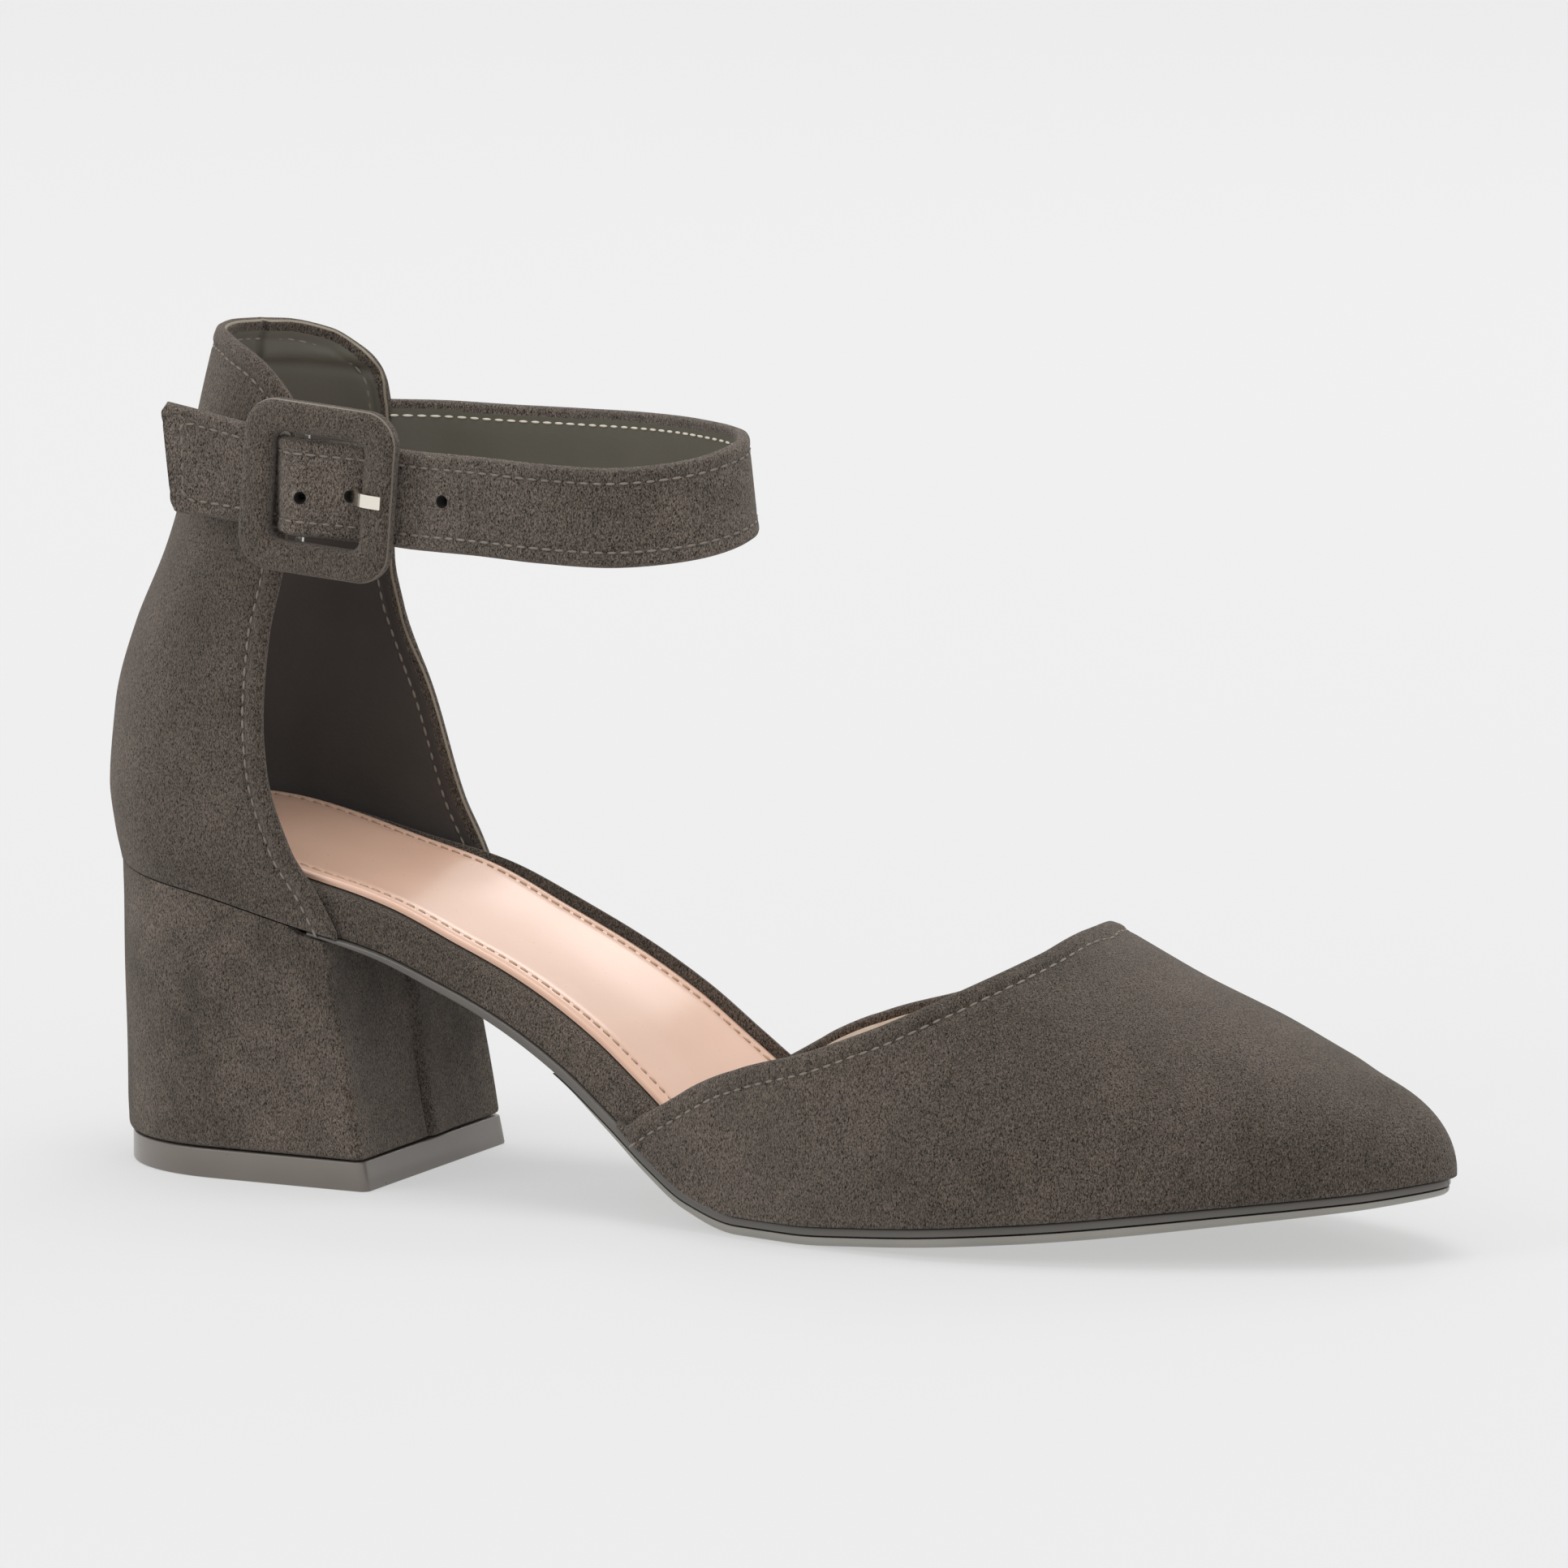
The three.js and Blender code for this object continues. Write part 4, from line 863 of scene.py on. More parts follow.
def grouped_material(
    name: str, group: bpy.types.NodeTree, values: dict[str, object], depth: float, strength: float
) -> tuple[bpy.types.Material, bpy.types.Node]:
    """Makes a material whose colour, roughness and height come from a group.

    Args:
        name: name of the material.
        group: the shader node group.
        values: values of the group's inputs.
        depth: height of the relief in metres.
        strength: strength of the relief.

    Returns:
        The material and its shader.
    """
    material = bpy.data.materials.new(name)
    material.use_nodes = True
    net = Net(material.node_tree)
    shader = node_of(net.tree, "BSDF_PRINCIPLED")
    place = net.add("ShaderNodeTexCoord")
    effect = net.add("ShaderNodeGroup")
    effect.node_tree = group
    fill(effect, values)
    net.put(effect.inputs["Vector"], place.outputs["Object"])
    net.put(shader.inputs["Base Color"], effect.outputs["Color"])
    net.put(shader.inputs["Roughness"], effect.outputs["Roughness"])
    bump = net.add("ShaderNodeBump", Strength=strength, Distance=depth)
    net.put(bump.inputs["Height"], effect.outputs["Height"])
    net.put(shader.inputs["Normal"], bump.outputs["Normal"])
    return material, shader


class Finish(Enum):
    """Every finish of the shoe."""

    UPPER = Nap("upper_nap")
    HEEL_COVER = Nap("heel_nap", broad=40.0, brushed=0.75)
    STRAP_COVER = Nap("strap_nap", tip=(0.25, 0.205, 0.17))
    BUCKLE_COVER = Nap("buckle_nap", tip=(0.18, 0.145, 0.118), brushed=0.26)
    CUP_LINING = Grain("cup_lining", (0.058, 0.05, 0.046), (0.075, 0.066, 0.06), gloss=0.75, fine=1400.0,
                       depth=0.00008)
    STRAP_LINING = Grain("strap_lining", (0.1, 0.093, 0.071), (0.12, 0.112, 0.088), gloss=0.62, fine=1100.0,
                         depth=0.00007)
    VAMP_LINING = Grain("vamp_lining", (0.62, 0.55, 0.44), (0.7, 0.63, 0.52), gloss=0.6)
    VAMP_EDGE = Grain("vamp_lining_edge", (0.66, 0.6, 0.5), (0.8, 0.75, 0.65), gloss=0.8, fine=1500.0, depth=0.0003)
    CUP_EDGE = Grain("cup_lining_edge", (0.2, 0.17, 0.125), (0.3, 0.26, 0.2), gloss=0.8, fine=1500.0, depth=0.0002)
    COVER_EDGE = Grain("cover_cut_edge", (0.14, 0.118, 0.095), (0.22, 0.19, 0.155), gloss=0.85, fine=1500.0,
                       depth=0.0002)
    SOCK = Grain("sock_leather", (0.65, 0.41, 0.298), (0.7, 0.458, 0.343), gloss=0.28, fine=1500.0, spread=0.03,
                 depth=0.00001, strength=0.04, coat=0.2, coat_rough=0.16)
    BAND = Grain("sole_band", (0.095, 0.087, 0.077), (0.115, 0.105, 0.093), gloss=0.32, coat=0.2)
    TREAD = Grain("sole_tread", (0.25, 0.24, 0.21), (0.3, 0.285, 0.255), gloss=0.38, coat=0.2)
    TOP_PIECE = Grain("heel_rubber", (0.15, 0.13, 0.112), (0.175, 0.152, 0.133), gloss=0.3, fine=500.0, depth=0.00003,
                      coat=0.3, coat_rough=0.12)
    THREAD = Grain("upper_thread", (0.17, 0.145, 0.12), (0.24, 0.205, 0.17), gloss=0.6, fine=2600.0, depth=0.0001)
    PALE_THREAD = Grain("pale_thread", (0.72, 0.66, 0.56), (0.8, 0.74, 0.64), gloss=0.55, fine=2600.0, depth=0.0001)
    SOCK_THREAD = Grain("sock_thread", (0.45, 0.3, 0.21), (0.56, 0.4, 0.3), gloss=0.5, fine=2600.0, depth=0.0001)
    # Painted shade: the walls of the punched holes are coloured near black to stand in for the shade inside the holes.
    HOLE_SHADE = Grain("hole_wall_painted_shade", (0.012, 0.01, 0.009), (0.02, 0.017, 0.015), gloss=0.85)
    PRONG = Grain("prong_metal", (0.86, 0.8, 0.7), (0.9, 0.85, 0.76), gloss=0.22, fine=700.0, metal=1.0, depth=0.00002)
    BAR = Grain("bar_metal", (0.6, 0.6, 0.56), (0.7, 0.7, 0.66), gloss=0.3, fine=700.0, metal=1.0, depth=0.00002)


class Wardrobe:
    """Makes each finish once and hands it out."""

    def __init__(self) -> None:
        """Builds the shared groups."""
        self.groups = {"nap": nap_group(), "grain": grain_group()}
        self.made: dict[Finish, bpy.types.Material] = {}

    def get(self, finish: Finish) -> bpy.types.Material:
        """Returns the material of a finish."""
        if finish not in self.made:
            self.made[finish] = finish.value.material(self.groups)
        return self.made[finish]


# Stitches


class StitchRows:
    """Rows of thread stitches laid along lines by geometry nodes."""

    def __init__(self) -> None:
        """Builds the node tree."""
        tree = bpy.data.node_groups.new("stitch_row", "GeometryNodeTree")
        self.tree = tree
        tree.interface.new_socket("Geometry", in_out="INPUT", socket_type="NodeSocketGeometry")
        self.inputs: dict[str, str] = {}
        for name, kind, value in (
            ("Pitch", "NodeSocketFloat", 0.0023),
            ("Length", "NodeSocketFloat", 0.0017),
            ("Thickness", "NodeSocketFloat", 0.0005),
            ("Uneven", "NodeSocketFloat", 0.12),
            ("Seed", "NodeSocketInt", 4),
            ("Thread", "NodeSocketMaterial", None),
        ):
            socket = tree.interface.new_socket(name, in_out="INPUT", socket_type=kind)
            if value is not None:
                socket.default_value = value
            self.inputs[name] = socket.identifier
        tree.interface.new_socket("Geometry", in_out="OUTPUT", socket_type="NodeSocketGeometry")
        net = Net(tree)
        source, out = net.add("NodeGroupInput"), net.add("NodeGroupOutput")
        line = net.add("GeometryNodeMeshToCurve")
        net.put(line.inputs[0], source.outputs["Geometry"])
        stops = net.add("GeometryNodeResampleCurve", mode="LENGTH")
        net.put(stops.inputs["Curve"], line.outputs[0])
        net.put(stops.inputs["Length"], source.outputs["Pitch"])
        tangent = net.add("GeometryNodeInputTangent")
        aim = net.add("FunctionNodeAlignRotationToVector", axis="X")
        net.put(aim.inputs["Vector"], tangent.outputs[0])
        uneven = net.add("FunctionNodeRandomValue", data_type="FLOAT")
        net.put(uneven.inputs[2], net.math("SUBTRACT", 1.0, source.outputs["Uneven"]))
        net.put(uneven.inputs[3], net.math("ADD", 1.0, source.outputs["Uneven"]))
        net.put(uneven.inputs["Seed"], source.outputs["Seed"])
        size = net.add("ShaderNodeCombineXYZ")
        half_long = net.math("MULTIPLY", source.outputs["Length"], 0.5)
        half_thick = net.math("MULTIPLY", source.outputs["Thickness"], 0.5)
        net.put(size.inputs[0], net.math("MULTIPLY", half_long, uneven.outputs[1]))
        net.put(size.inputs[1], half_thick)
        net.put(size.inputs[2], half_thick)
        bead = net.add("GeometryNodeMeshUVSphere", Segments=8, Rings=6, Radius=1.0)
        place = net.add("GeometryNodeInstanceOnPoints")
        net.put(place.inputs["Points"], stops.outputs[0])
        net.put(place.inputs["Instance"], bead.outputs[0])
        net.put(place.inputs["Rotation"], aim.outputs[0])
        net.put(place.inputs["Scale"], size.outputs[0])
        real = net.add("GeometryNodeRealizeInstances")
        net.put(real.inputs[0], place.outputs[0])
        smooth = net.add("GeometryNodeSetShadeSmooth")
        net.put(smooth.inputs[0], real.outputs[0])
        dress = net.add("GeometryNodeSetMaterial")
        net.put(dress.inputs["Geometry"], smooth.outputs[0])
        net.put(dress.inputs["Material"], source.outputs["Thread"])
        net.put(out.inputs[0], dress.outputs[0])

    def lay(
        self,
        name: str,
        lines: Sequence[Array],
        thread: bpy.types.Material,
        slot: str,
        pitch: float = STITCH_PITCH,
        length: float = 1.75,
        thickness: float = 0.5,
        seed: int = 4,
    ) -> bpy.types.Object:
        """Lays stitches along lines.

        Args:
            name: name of the piece.
            lines: lines of points in millimetres.
            thread: material of the thread.
            slot: slot of the record that the thread belongs to; not used.
            pitch: distance from stitch to stitch in millimetres.
            length: length of a stitch in millimetres.
            thickness: thickness of the thread in millimetres.
            seed: seed of the uneven lengths.

        Returns:
            The finished piece.
        """
        points, edges = [], []
        for line in lines:
            start = len(points)
            points += (np.asarray(line) * MM).tolist()
            edges += [(k, k + 1) for k in range(start, len(points) - 1)]
        mesh = bpy.data.meshes.new(name + "_line")
        mesh.from_pydata(points, edges, [])
        guide = placed(name + "_line", mesh)
        modifier = guide.modifiers.new("stitches", "NODES")
        modifier.node_group = self.tree
        values = {"Pitch": pitch * MM, "Length": length * MM, "Thickness": thickness * MM, "Seed": seed,
                  "Thread": thread}
        for key, value in values.items():
            modifier[self.inputs[key]] = value
        piece = baked(guide, name)
        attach(piece, BODY)
        return piece


def baked(source: bpy.types.Object, name: str) -> bpy.types.Object:
    """Turns an object with modifiers into a plain mesh and removes the source.

    Args:
        source: object with its modifiers.
        name: name of the new piece.

    Returns:
        The new object.
    """
    graph = bpy.context.evaluated_depsgraph_get()
    graph.update()
    mesh = bpy.data.meshes.new_from_object(source.evaluated_get(graph), depsgraph=graph)
    mesh.name = name
    bpy.data.objects.remove(source, do_unlink=True)
    return placed(name, mesh)


# Pieces


@dataclass
class Part:
    """Base of the sub-assemblies."""

    last: Last
    wardrobe: Wardrobe
    rows: StitchRows

    def finish(self, piece: bpy.types.Object, slot: str, *nodes: str) -> bpy.types.Object:
        """Puts a piece on the shoe in place of its frame nodes.

        Args:
            piece: the piece.
            slot: slot of the record; not used.
            nodes: frame nodes that it stands for.

        Returns:
            The piece.
        """
        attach(piece, BODY)
        if nodes:
            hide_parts(*nodes)
        LOG.info("%s: %d faces", piece.name, len(piece.data.polygons))
        return piece

    @staticmethod
    def cut_edge(kinds: Array, polygons: list, bulge: Array, slots: Array, slot: int) -> None:
        """Gives the thin cut edge of the lining its own slot where the wall's edge is free.

        Args:
            kinds: kind of each face.
            polygons: corners of each face.
            bulge: 1 at the free edge, for each point of the sheet.
            slots: slot of each face, changed in place.
            slot: slot of the cut edge.
        """
        free = set()
        for k in np.flatnonzero(kinds == 1):
            outer = [corner for corner in polygons[k] if corner < len(bulge)]
            if outer and all(bulge[corner] > 0 for corner in outer):
                free.add(int(k))
        marked = np.flatnonzero(kinds == 3)
        for k in marked:
            if any(k - step in free for step in range(1, 6)):
                slots[k] = slot

    def get(self, *finishes: Finish) -> list[bpy.types.Material]:
        """Returns the materials of finishes."""
        return [self.wardrobe.get(finish) for finish in finishes]


def hem_relief(
    distance: Array, puff: float = 0.24, dip: float = 0.34, run: Array | None = None
) -> Array:
    """Returns the relief of a turned and stitched edge.

    Args:
        distance: distance from the edge.
        puff: height of the padded rim.
        dip: depth of the groove under the stitches.
        run: place along the edge, for the pulled-in folds between stitches, or None.

    Returns:
        How far each point is moved out.
    """
    rim = puff * bell(distance, 0.45 * STITCH_INSET, 0.42 * STITCH_INSET)
    groove = dip * bell(distance, STITCH_INSET, 0.55)
    if run is None:
        return rim - groove
    beat = np.sin(2 * np.pi * run / STITCH_PITCH + 1.3 * np.sin(run / 7.9))
    uneven = 0.6 + 0.4 * np.sin(run / 5.3 + 2.0 * np.sin(run / 13.0))
    pull = 0.1 * beat * uneven * bell(distance, STITCH_INSET, 1.5)
    return rim * (1 + 0.25 * np.sin(run / 3.1)) - groove + pull


@dataclass
class Vamp(Part):
    """The front of the upper: a hollow wall from the toe to the throat."""

    instep_rise: float = 45.7
    throat: float = 187.3
    rear: float = 109.3
    ridge_setback: float = 15.5
    bulge: float = 2.7
    roll: float = 0.6
    turn_in: float = 0.9
    pale_rim: float = 1.2
    columns_behind: int = 180

    def __post_init__(self) -> None:
        """Reads the tables."""
        self.ridge_share, self.edge_share = Column(VAMP, 1), Column(VAMP, 2)
        self.rib_wall, self.rib_top, self.rib_bulge = (Column(RIBS, k) for k in range(1, 4))

    def ridge_place(self, x: Array) -> Array:
        """Returns X of the ridge for X of the outline."""
        start, end = self.last.place(0.87), self.last.place(1)
        share = np.clip((x - start) / (end - start), 0, None)
        return x - self.ridge_setback * share * share

    def ribs(self, side: Side, walk: Array) -> Array:
        """Returns the four control points of each rib."""
        last = self.last
        foot = last.over(last.rim(side, walk, last.upper_offset(walk)), last.half_gap)
        x = last.along(walk)[0]
        ridge_x = self.ridge_place(x)

        def ridge_height(place: Array) -> Array:
            return last.feather(place) + self.ridge_share(last.share(place)) * self.instep_rise

        crest = np.stack([ridge_x, last.middle(last.share(ridge_x)), ridge_height(ridge_x)], -1)
        share = last.share(x)
        out = foot[:, :2] - crest[:, :2]
        long = np.linalg.norm(out, axis=1)
        out = out / long[:, None]
        slope = (ridge_height(ridge_x + 1) - ridge_height(ridge_x - 1)) / 2
        rise = crest[:, 2] - foot[:, 2]
        side_out = self.rib_bulge(share) * self.bulge
        lower = np.stack(
            [foot[:, 0] + out[:, 0] * side_out, foot[:, 1] + out[:, 1] * side_out,
             foot[:, 2] + self.rib_wall(share) * rise], -1)
        pull = self.rib_top(share) * long
        upper = np.stack(
            [crest[:, 0] + out[:, 0] * pull, crest[:, 1] + out[:, 1] * pull,
             crest[:, 2] + np.minimum(0, slope * out[:, 0] * pull)], -1)
        return np.stack([foot, lower, upper, crest], 1)

    @staticmethod
    def bezier(ribs: Array, t: Array) -> Array:
        """Returns points on the ribs; t has one row for each rib."""
        t = t[..., None]
        a, b, c, d = (ribs[:, None, k] for k in range(4))
        return a * (1 - t) ** 3 + 3 * b * t * (1 - t) ** 2 + 3 * c * t**2 * (1 - t) + d * t**3

    def columns(self, side: Side, walk: Array, fine: int, wide: int) -> Array:
        """Returns the points of one side, column by column from the sole to the edge or ridge."""
        last = self.last
        ribs = self.ribs(side, walk)
        x = last.along(walk)[0]
        throat_x = last.place(0) + self.throat
        t = np.linspace(0, 1, 241)
        dense = self.bezier(ribs, np.tile(t, (len(walk), 1)))
        target = ribs[:, 0, 2] + self.edge_share(last.share(x)) * self.instep_rise
        points = []
        for k in range(len(walk)):
            run = np.concatenate([[0], np.cumsum(np.linalg.norm(np.diff(dense[k], axis=0), axis=1))])
            end = run[-1]
            if x[k] < throat_x - 1e-3:
                above = dense[k][:, 2] >= target[k]
                first = int(np.argmax(above)) if above.any() else len(t) - 1
                low, high = dense[k][first - 1, 2], dense[k][first, 2]
                share = (target[k] - low) / max(high - low, 1e-6) if above.any() else 1.0
                end = run[first - 1] + np.clip(share, 0, 1) * (run[first] - run[first - 1])
                near = smoothstep(throat_x - x[k], 0.0, 4.0)
                end = max(end - self.roll * near, 0.35)
            fine_long = min(4.2, 0.5 * end)
            stops = spread(0.0, end, wide, fine_long, fine)
            at = np.interp(stops, run, t)
            if x[k] >= throat_x - 1e-3:
                at[-1] = 1.0
            points.append(self.bezier(ribs[k : k + 1], at[None])[0])
        return np.array(points)

    def build(self) -> None:
        """Builds the vamp with its lining and its stitches."""
        last = self.last
        rear = last.walk_to(last.place(0) + self.rear)
        throat = last.walk_to(last.place(0) + self.throat)
        toe = last.walk_to(last.place(0.93))
        walk = np.concatenate([
            np.linspace(rear, throat, self.columns_behind), np.linspace(throat, toe, 46)[1:],
            np.linspace(toe, 1, 40)[1:]])
        fine, wide = 10, 42
        per = fine + wide + 1
        grids = [self.columns(side, walk, fine, wide) for side in (Side.OUTER, Side.INNER)]
        count = len(walk) * per
        sheet = two_sided(grids, last.wall)
        ends = np.arange(self.columns_behind) * per + per - 1
        order = np.concatenate([ends, (ends + count)[::-1]])
        topline = list(dict.fromkeys(sheet.index[order].tolist()))
        edge, run = sheet.distance(sheet.points[topline])
        low = sheet.points[:, 2] - last.feather(sheet.points[:, 0])
        fade = smoothstep(low, 0.2, 3.0)
        relief = hem_relief(edge, run=run) * fade + self.creases(sheet.points) * fade
        bulge = np.zeros(len(sheet.points))
        bulge[topline] = 1.0
        points, polygons, kinds = sheet.walled(relief, bulge)
        distance = np.concatenate([edge, edge])
        slots = np.zeros(len(polygons), int)
        for k in np.flatnonzero(kinds == 2):
            if distance[polygons[k][0]] > self.turn_in:
                slots[k] = 2 if distance[polygons[k][0]] < self.turn_in + self.pale_rim else 1
        finishes = self.get(Finish.UPPER, Finish.VAMP_LINING, Finish.VAMP_EDGE)
        piece = piece_mesh("vamp_cover", points, polygons, finishes, slots)
        self.finish(piece, "suede_vamp", "vamp")
        line = sheet.inset(topline, STITCH_INSET, THREAD_LIFT, relief)
        self.rows.lay("vamp_stitches", [line], self.wardrobe.get(Finish.THREAD), "suede_vamp")

    @staticmethod
    def creases(points: Array) -> Array:
        """Returns the soft unevenness of the cover over the toe and the ball."""
        x, y, z = points[:, 0], points[:, 1], points[:, 2]
        wave = 0.10 * np.sin(x / 11.0 + y / 17.0) * np.sin(z / 9.0 + y / 13.0 + 1.0)
        return wave + 0.05 * np.sin(x / 5.3 - z / 6.1) * np.sin(y / 7.7 + 2.0)


@dataclass
class Quarter(Part):
    """The heel cup with its high back."""

    cup_height: float = 95.2
    cup_length: float = 53.2
    roll: float = 0.6
    turn_in: float = 1.3
    pale_lining_from: float = 112.0

    def __post_init__(self) -> None:
        """Reads the tables."""
        self.back, self.width = Column(CUP, 1), Column(CUP, 2)
        self.front = {Side.OUTER: Column(OUTER_FRONT, 1), Side.INNER: Column(INNER_FRONT, 1)}
        self.drop = {Side.OUTER: Column(TOP_EDGE, 1), Side.INNER: Column(TOP_EDGE, 2)}

    def points(self, side: Side, turn: Array, height: Array, trim: float = 0.0) -> Array:
        """Returns points of the outside.

        Args:
            side: side of the foot.
            turn: 0 at the back to 1 at the front edge.
            height: 0 at the sole to 1 at the top edge.
            trim: how much shorter the wall is than its edge, for the roll.

        Returns:
            X, Y and Z in the last axis.
        """
        last = self.last
        shift = self.back(height) * self.cup_height
        reach = last.place(0) + self.front[side](height) * self.cup_length - trim
        walk = last.walk_to(reach - shift) * turn
        offset = last.upper_offset(walk)
        plan = last.rim(side, walk, offset)
        foot = last.over(plan, last.half_gap)
        top = last.seat_height + self.cup_height - self.drop[side](turn) * self.cup_height - trim
        rise = foot[..., 2] + (top - foot[..., 2]) * height
        return np.stack([plan[..., 0] + shift, plan[..., 1] * self.width(height), rise], -1)

    def build(self) -> None:
        """Builds the cup with its lining, facing and stitches."""
        last = self.last
        turns = spread(0.0, 1.0, 72, 0.085, 11)
        heights = spread(0.0, 1.0, 150, 0.046, 11)
        turn, height = np.meshgrid(turns, heights, indexing="ij")
        rows, per = len(turns), len(heights)
        grids = [self.points(side, turn, height, self.roll) for side in (Side.OUTER, Side.INNER)]
        count = rows * per
        sheet = two_sided(grids, last.wall)
        index = sheet.index
        last_row = (rows - 1) * per
        outer_front = index[last_row + np.arange(per)]
        outer_top = index[(np.arange(rows) * per + per - 1)[::-1]]
        inner_top = index[np.arange(rows) * per + per - 1 + count]
        inner_front = index[(last_row + np.arange(per) + count)[::-1]]
        order = list(dict.fromkeys(np.concatenate([outer_front, outer_top, inner_top, inner_front]).tolist()))
        edge, run = sheet.distance(sheet.points[order])
        low = sheet.points[:, 2] - last.feather(np.clip(sheet.points[:, 0], last.place(0), None))
        fade = smoothstep(low, 0.0, 4.0)
        relief = hem_relief(edge, run=run) * fade + self.creases(sheet.points) * fade
        facing = 0.25 * self.facing(sheet.points) + self.folds(sheet.points)
        bulge = np.zeros(len(sheet.points))
        bulge[order] = 1.0
        points, polygons, kinds = sheet.walled(relief, bulge, facing + 0.15 * hem_relief(edge, dip=1.0, puff=0.0))
        slots = np.zeros(len(polygons), int)
        heights_now = np.concatenate([sheet.points[:, 2]] * 2)
        distance = np.concatenate([edge, edge])
        for k in np.flatnonzero(kinds == 2):
            corner = polygons[k][0]
            if distance[corner] > self.turn_in:
                slots[k] = 2 if heights_now[corner] > self.pale_lining_from else 1
        self.cut_edge(kinds, polygons, bulge, slots, 3)
        finishes = self.get(Finish.UPPER, Finish.CUP_LINING, Finish.STRAP_LINING, Finish.CUP_EDGE)
        piece = piece_mesh("quarter_cover", points, polygons, finishes, slots)
        self.finish(piece, "suede_quarter", "quarter")
        line = sheet.inset(order, LINING_INSET, THREAD_LIFT, relief)
        self.rows.lay("quarter_stitches", [line], self.wardrobe.get(Finish.THREAD), "suede_quarter", seed=7)
        inner_sheet = Sheet(sheet.points - sheet.normals * (last.wall + THREAD_LIFT), sheet.faces[:, ::-1], last.wall)
        inner_order = [int(inner_sheet.index[k]) for k in order]
        inside = inner_sheet.inset(inner_order, LINING_INSET, THREAD_LIFT, np.zeros(len(inner_sheet.points)))
        self.rows.lay("quarter_lining_stitches", [inside], self.wardrobe.get(Finish.THREAD), "suede_quarter", seed=9)

    @staticmethod
    def facing(points: Array) -> Array:
        """Returns the raised heel-grip facing and the seam behind it."""
        return smoothstep(points[:, 2], 108.0, 112.0) * (1 - smoothstep(points[:, 0], 26.0, 32.0))

    @staticmethod
    def folds(points: Array) -> Array:
        """Returns the lining's upright seam near the back and the soft fold under the top edge."""
        x, y, z = points[:, 0], points[:, 1], points[:, 2]
        inner = smoothstep(y, 1.0, 4.0)
        upright = smoothstep(z, 132.0, 138.0) * inner
        lap = 0.35 * smoothstep(y, 7.6, 8.4) * (1 - smoothstep(y, 9.5, 13.0)) * upright
        seam = -0.7 * bell(y, 8.0, 0.55) * upright + lap
        line = z - 140.3 + 0.12 * (x + 5.0)
        near = smoothstep(y, 7.0, 9.0) * (1 - smoothstep(x, 2.0, 14.0))
        return seam + near * (0.55 * bell(line, 1.6, 1.5) - 0.6 * bell(line, -0.6, 1.0))

    @staticmethod
    def creases(points: Array) -> Array:
        """Returns the soft unevenness of the cover over the stiff cup."""
        x, y, z = points[:, 0], points[:, 1], points[:, 2]
        return 0.09 * np.sin(x / 8.0 + z / 15.0) * np.sin(z / 12.0 + y / 9.0) + 0.05 * np.sin(z / 5.0 + x / 7.0)


